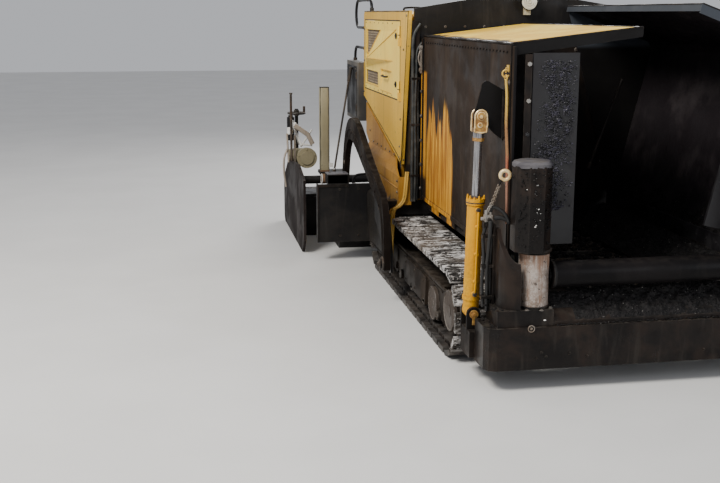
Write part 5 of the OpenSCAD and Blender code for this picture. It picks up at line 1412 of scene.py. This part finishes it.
def track_parts():
    count = 39
    pitch = (2 * TRACK_BASE + 2 * pi * TRACK_PATH) / count
    form, bolts, links, dust = Form(), Form(), Form(), Form()
    for i in range(count):
        face, normal = on_loop((i + 0.5) * pitch, 257.5)
        tangent = Vector((0, normal.z, -normal.y))
        if face.z > 30:
            for x in (-868, -826, -738, -696):
                for t in (-22, 22):
                    bolts.bolt(face + Vector((x, 0, 0)) + tangent * t, normal, 9, False)
        # Link plates on both sides of the chain, with pin heads
        at, _ = on_loop((i + 0.5) * pitch, 214)
        for x0, x1, head in ((-890.5, -887, -894.5), (-677, -673.5, -669.5)):
            ring = []
            for q, w in ((-56, 10), (-40, 15), (40, 15), (56, 10), (56, -8), (40, -13),
                         (-40, -13), (-56, -8)):
                p = at + tangent * q + normal * w
                ring.append((p.y, p.z))
            links.prism("x", ring, x0, x1)
            for q in (-38, 38):
                p = at + tangent * q
                links.rod((x0 if head < x0 else x1, p.y, p.z), (head, p.y, p.z), 9, 10)
        # Caked dirt in lumps on the shoes' faces and ends
        for k in range(34):
            p = face + Vector((random.uniform(-928, -640), 0, 0)) + tangent * random.uniform(-44, 44)
            if face.z > 20:
                lumps(dust, [p - normal * 1.5], 8, 20, 0.45)
    bolts.make("shoe_bolts", "dusty_shoe", both=True)
    links.make("chain_links", "grimy_black", both=True)
    dust.make("shoe_clods", "dusty_shoe", both=True)
    # Caps of the sprocket and the rollers
    wheel = (IDLER_Y + TRACK_BASE, IDLER_Z)
    form.rod((-886, *wheel), (-893, *wheel), 96, 40)
    form.rod((-893, *wheel), (-899, *wheel), 53, 28)
    form.bolt_ring((-893, *wheel), OUT, 75, 10, 9, 0, False)
    for y in range(970, 2411, 360):
        form.rod((-886, y, 134.3), (-892, y, 134.3), 27, 24)
        form.bolt_ring((-892, y, 134.3), OUT, 17, 4, 5, 45, False)
    form.make("track_caps", "worn_iron", bevel=1.2, both=True)
    # Plain discs on the idler and beside the first roller, and the cover plate behind them
    for y, z, r in ((688, 246, 122), (1090, 182, 106)):
        form.rod((-872, y, z), (-890, y, z), r, 64)
        form.torus((-890, y, z), INWARD, r - 4, 4, 64, 8)
        form.rod((-890, y, z), (-893, y, z), 0.3 * r, 40)
    form.make("idler_discs", "disc_iron", both=True)
    form.prism("x",
               [(1290, 118), (1265, 285), (1300, 302), (1880, 302), (1912, 285), (1890, 128)], -892, -872)
    form.bent([(-891, 1266, 288), (-892, 1300, 303), (-892, 1600, 304), (-892, 1880, 303),
               (-891, 1912, 287)], 5, 8)
    form.bolts(-892, (1330, 1590, 1850), (150, 270), OUT, 9)
    form.make("track_cover", "frame_brown", bevel=3.0, both=True)
    form.bent([(-874, 900, 300), (-876, 1300, 304), (-876, 1900, 304), (-874, 2400, 300)], 6, 8)
    form.prism("y", [(-874, 318), (-884, 322), (-884, 336), (-874, 340)], 760, 2620)
    for y in range(1120, 2400, 360):
        form.prism("x", [(y - 18, 205), (y + 18, 205), (y + 12, 318), (y - 12, 318)], -880, -871)
    form.make("track_ribs", "frame_brown", bevel=1.5, both=True)


# Tow arms, brackets and the auger
def arm_parts():
    form = Form()
    # Cast boss round the tow pin, with the pin's head and its bolt
    form.torus((-1082, *TOW_PIN), INWARD, 40, 10, 40, 10)
    form.rod((-1100, *TOW_PIN), (-1106, *TOW_PIN), 34, 32)
    form.bolt((-1106, *TOW_PIN), OUT, 17)
    form.make("tow_pins", "worn_iron", bevel=1.2, both=True)
    # A bead along the arm's outer face, with studs under it
    spine = [(1742, 420), (1790, 600), (1890, 700), (2050, 762), (2300, 846), (2570, 945), (2840, 1038),
             (3040, 1068), (3215, 1025), (3355, 885), (3438, 670), (3500, 430)]
    out = -1080.5
    for side in NAMES:
        form.bent([(out, y, z) for y, z in spine], 4.5, 6, 5)
        for y, z in spine[2:10]:
            form.rod((out, y, z - 30), (out - 5, y, z - 30), 11, 16)
        form.on_side("arm_bead", "arm_grey", side, "screed")
        for y, z in ((3525, 450), (3600, 450), (3675, 450)):
            form.bolt((-1057, y, z), UP, 13)
        form.bolt((-1080, 3380, 760), OUT, 15)
        form.bolt((-1080, 3430, 600), OUT, 15)
        form.rod((-1057, 3700, 445), (-1057, 3700, 505), 12, 14)
        form.bolt((-1057, 3700, 505), UP, 14)
        form.on_side("arm_bolts", "worn_iron", side, "screed")
    for y, z in ((1770, 235), (1850, 320), (1900, 420), (2000, 560), (2120, 600)):
        form.bolt((-1031.5, y, z), OUT, 9, False)
    form.make("bracket_bolts", "worn_iron", both=True)


def auger_parts():
    form = Form()
    for side in NAMES:
        form.bolt_ring((side * 94, *AUGER), (side, 0, 0), 88, 8, 9, 0, False)
    form.bolts((-260, -180, 180, 260), 3199, 580, FRONT, 10)
    form.make("gearbox_bolts", "worn_iron")
    for side, name in SIDES:
        form.torus((side * 100, *AUGER), INWARD, 46, 6, 28, 8)
        form.rod((side * 994, *AUGER), (side * 1001, *AUGER), 34, 24)
        form.bolt((side * 1001, *AUGER), (side, 0, 0), 16)
        for k in range(9):
            a = radians(120 * k) * side
            out = Vector((0, cos(a), sin(a)))
            form.bolt(Vector((side * (145 + 100 * k), *AUGER)) + out * 42, out, 9, False)
        form.make("auger_bolts_" + name, "worn_iron", "auger_" + name)
    # Bolts, boxes and edges of the deflector plates
    for side in NAMES:
        for x in range(420, 1320, 150):
            for z in (215, 590):
                form.bolt((side * x, 3049, z), FRONT, 9)
    form.make("plate_bolts", "grimy_black")
    form.block((-1262, -1103), (3056, 3062), (636, 702))
    form.block((-1268, -1097), (3062, 3192), (705, 711))
    for x in (-1240, -1125):
        form.rod((x, 3128, 710), (x, 3128, 716), 9, 14)
    form.make("plate_boxes", "box_grey", bevel=2.0, both=True)
    form.block((-1345, -1100), (3042, 3049), (610, 628))
    form.prism("y", [(-1350, 170), (-1338, 170), (-1338, 628), (-1350, 628)], 3040, 3049)
    form.make("plate_edges", "grimy_black", bevel=1.2, both=True)


# Screed
def screed_parts():
    form = Form()
    # Cover plates and crown adjuster of the main screed
    form.block((-930, -560), (3930, 4080), (420, 446))
    form.block((-520, -220), (3930, 4080), (420, 446))
    form.rod((-150, 3840, 432), (150, 3840, 432), 22, 20)
    form.rod((-185, 3840, 445), (-150, 3840, 445), 34, 6)
    form.make("screed_covers", "black_paint", "screed", 4.0, both=True)
    for x in range(-900, 901, 200):
        form.bolt((x, 3560, 421), UP, 11)
        form.bolt((x, 4082, 421), UP, 9)
    form.bolts((-700, 700, -400, 400), 3770, 432, UP, 10)
    form.make("screed_bolts", "worn_iron", "screed")
    form.bent([(-900, 3980, 450), (-905, 3985, 520), (-860, 3985, 560), (-700, 3985, 560),
               (-655, 3985, 520), (-660, 3980, 450)], 11, 12)
    form.make("screed_handles", "black_paint", "screed", both=True)
    for side, name in SIDES:
        body = "extension_" + name
        # Walkway with rolled edges
        form.block((-1380, -480), (4646, 4872), (312, 316))
        for y in (4652, 4866):
            form.tube([(-1378, y, 317), (-482, y, 317)], 4, 8)
        form.on_side("walkway", "checker_plate", side, body, 0.8)
        form.block((-1370, -960), (4150, 4310), (350, 372))
        form.block((-930, -500), (4400, 4540), (350, 368))
        form.on_side("ext_covers", "black_paint", side, body, 3.0)
        for x in range(-1340, -480, 140):
            form.bolt((x, 4640, 200), REAR, 9)
            form.bolt((x, 4123, 60), FRONT, 8)
        form.bolts((-1340, -1150, -990), 4170, 372, UP, 8)
        form.on_side("ext_bolts", "worn_iron", side, body)
        # Crank: spokes, hub, handle, rim and thread
        centre = Vector((-1340, 4520, 1060))
        for k in range(3):
            a = radians(120 * k + 30)
            form.rod(centre, centre + Vector((74 * cos(a), 74 * sin(a), 0)), 7, 10)
        form.rod(centre - Vector((0, 0, 22)), centre + Vector((0, 0, 30)), 24, 20)
        form.rod(centre + Vector((70, 0, 6)), centre + Vector((70, 0, 62)), 11, 14)
        form.torus(centre, UP, 74, 10.5, 40, 10)
        form.on_side("crank_wheel", "worn_iron", side, body, 0.6)
        for k in range(24):
            form.torus(centre - Vector((0, 0, 560 - k * 9)), UP, 16, 3, 18, 6)
        form.rod(centre - Vector((0, 0, 640)), centre - Vector((0, 0, 574)), 28, 20)
        form.on_side("crank_thread", "bright_fitting", side, body)


def mast_parts():
    """Rounded sleeve pulled over each mast, the brown knob at its foot, and a stay."""
    form = Form()
    knob = (4088, 516)
    for side in NAMES:
        rings = []
        for k in range(15):
            z = 585 + 52 * k
            swell = 1 + 0.02 * sin(k * 1.7)
            ring = []
            for j in range(28):
                a = 2 * pi * j / 28
                c, s = cos(a), sin(a)
                r = 1 / (abs(c) ** 5 + abs(s) ** 5) ** (1 / 5)
                ring.append((-1135 + 43.5 * swell * r * c, 4160 + 33.5 * swell * r * s, min(z, 1322)))
            rings.append(ring)
        form.loft(rings)
        form.on_side("mast_sleeve", "tan_green", side, "screed", 3.0)
        form.rod((-1172, *knob), (-1100, *knob), 44, 36)
        form.rod((-1176, *knob), (-1172, *knob), 26, 28)
        form.block((-1160, -1110), (4088, 4132), (480, 552))
        form.block((-1176, -1094), (4128, 4194), (572, 590))
        form.on_side("mast_knob", "knob_brown", side, "screed", 1.5)
        form.torus((-1171, *knob), INWARD, 42, 5, 40, 8)
        form.block((-1098, -1062), (4128, 4134), (612, 652))
        form.block((-1060, -1046), (4140, 4160), (570, 600))
        form.on_side("mast_knob_rim", "white_box", side, "screed")
        form.tube([(-1051, 4150, 562), (-1006, 4150, 840), (-905, 4150, 1440)], 9, 10)
        form.rod((-1051, 4150, 566), (-1049, 4150, 590), 15, 16)
        form.tube([(-918, 4150, 1365), (-896, 4150, 1490)], 15, 14)
        form.on_side("mast_stay", "worn_iron", side, "screed")


def end_plate_parts():
    form = Form()
    for side, name in SIDES:
        body = "extension_" + name
        form.rod((-1415, 4290, 560), (-1415, 4290, 1250), 11, 12)
        form.rod((-1415, 4290, 1250), (-1415, 4290, 1262), 15, 12)
        form.on_side("marker_pole", "worn_iron", side, body)
        form.block((-1446, -1398), (4300, 4360), (890, 950))
        form.block((-1400, -1366), (4300, 4344), (944, 996))
        form.block((-1424, -1406), (4440, 4475), (640, 720))
        form.on_side("control_boxes", "white_box", side, body, 6)
        form.rod((-1384, 4334, 420), (-1379, 4334, 880), 10, 12)
        form.rod((-1440, 4310, 640), (-1452, 4310, 900), 9, 12)
        form.bent([(-1468, 4300, 420), (-1484, 4300, 560), (-1480, 4300, 680), (-1452, 4300, 760)], 9, 12)
        form.on_side("end_struts", "dull_strut", side, body)
        form.rod((-1400, 4470, 820), (-1400, 4470, 1030), 34, 24)
        form.rod((-1400, 4470, 1030), (-1400, 4470, 1046), 22, 20)
        form.on_side("level_jack", "black_paint", side, body, 2)
        form.rod((-1385, 4420, 690), (-1300, 4420, 690), 62, 32)
        form.rod((-1424, 4420, 690), (-1385, 4420, 690), 54, 32)
        form.rod((-1275, 4330, 676), (-1275, 4290, 676), 92, 40)
        form.rod((-1275, 4290, 676), (-1275, 4278, 676), 60, 32)
        form.block((-1330, -1220), (4330, 4420), (640, 712))
        form.bolt_ring((-1275, 4290, 676), FRONT, 76, 5, 9, 20)
        form.bolt_ring((-1424.5, 4420, 690), OUT, 40, 6, 8, 0, False)
        form.on_side("gear_housing", "tan_green", side, body, 2.0)
        form.tube([(-1395, 4330, 1010), (-1320, 4505, 780)], 11, 10)
        form.tube([(-1395, 4500, 1010), (-1320, 4330, 780)], 11, 10)
        form.tube([(-1318, 4316, 790), (-1225, 4318, 930)], 8, 10)
        form.tube([(-1318, 4312, 800), (-1225, 4312, 786)], 8, 10)
        form.on_side("braces", "pale_housing", side, body)
        form.tube([(-1384, 4310, 972), (-1262, 4308, 884), (-1222, 4306, 800)], 22, 12)
        form.on_side("thick_brace", "dull_strut", side, body)


def conveyor_parts():
    form = Form()
    for x in (-270, 270):
        for y in range(255, 3005, 38):
            form.rod((x - 19, y, 454), (x + 19, y, 454), 6, 8)
    for y in range(330, 2950, 190):
        for x in (-230, 0, 230):
            form.bolt((x, y + 15, 478), UP, 8, False)
    form.make("chain_pins", "worn_iron")


def engine_parts():
    form = Form()
    for x in (-180, 0, 180):
        form.rod((x, 2600, 1480), (x, 2600, 1560), 46, 24)
    for k in range(6):
        form.rod((-301, 2540 + k * 100, 1300), (-325, 2540 + k * 100, 1300), 26, 18)
    form.bent([(-300, 2560, 1200), (-340, 2560, 1210), (-350, 2700, 1260), (-345, 3000, 1240),
               (-300, 3100, 1200)], 16, 12)
    form.make("engine_fittings", "worn_iron")


ledge_crust()
flap_crumbs()
wing_parts()
wing_cylinders()
lock_rod()
corner_fittings()
post_parts()
hopper_parts()
door_parts()
hood_parts()
panel_parts()
fender_parts()
station_parts()
top_parts()
track_parts()
arm_parts()
auger_parts()
screed_parts()
mast_parts()
end_plate_parts()
conveyor_parts()
engine_parts()


def add_floor():
    size = 30
    mesh = bpy.data.meshes.new("floor")
    mesh.from_pydata([(-size, -size, 0), (size, -size, 0), (size, size, 0), (-size, size, 0)], [],
                     [(0, 1, 2, 3)])
    floor_paint()
    mesh.materials.append(MAT["floor"])
    obj = bpy.data.objects.new("floor", mesh)
    bpy.context.scene.collection.objects.link(obj)


add_floor()
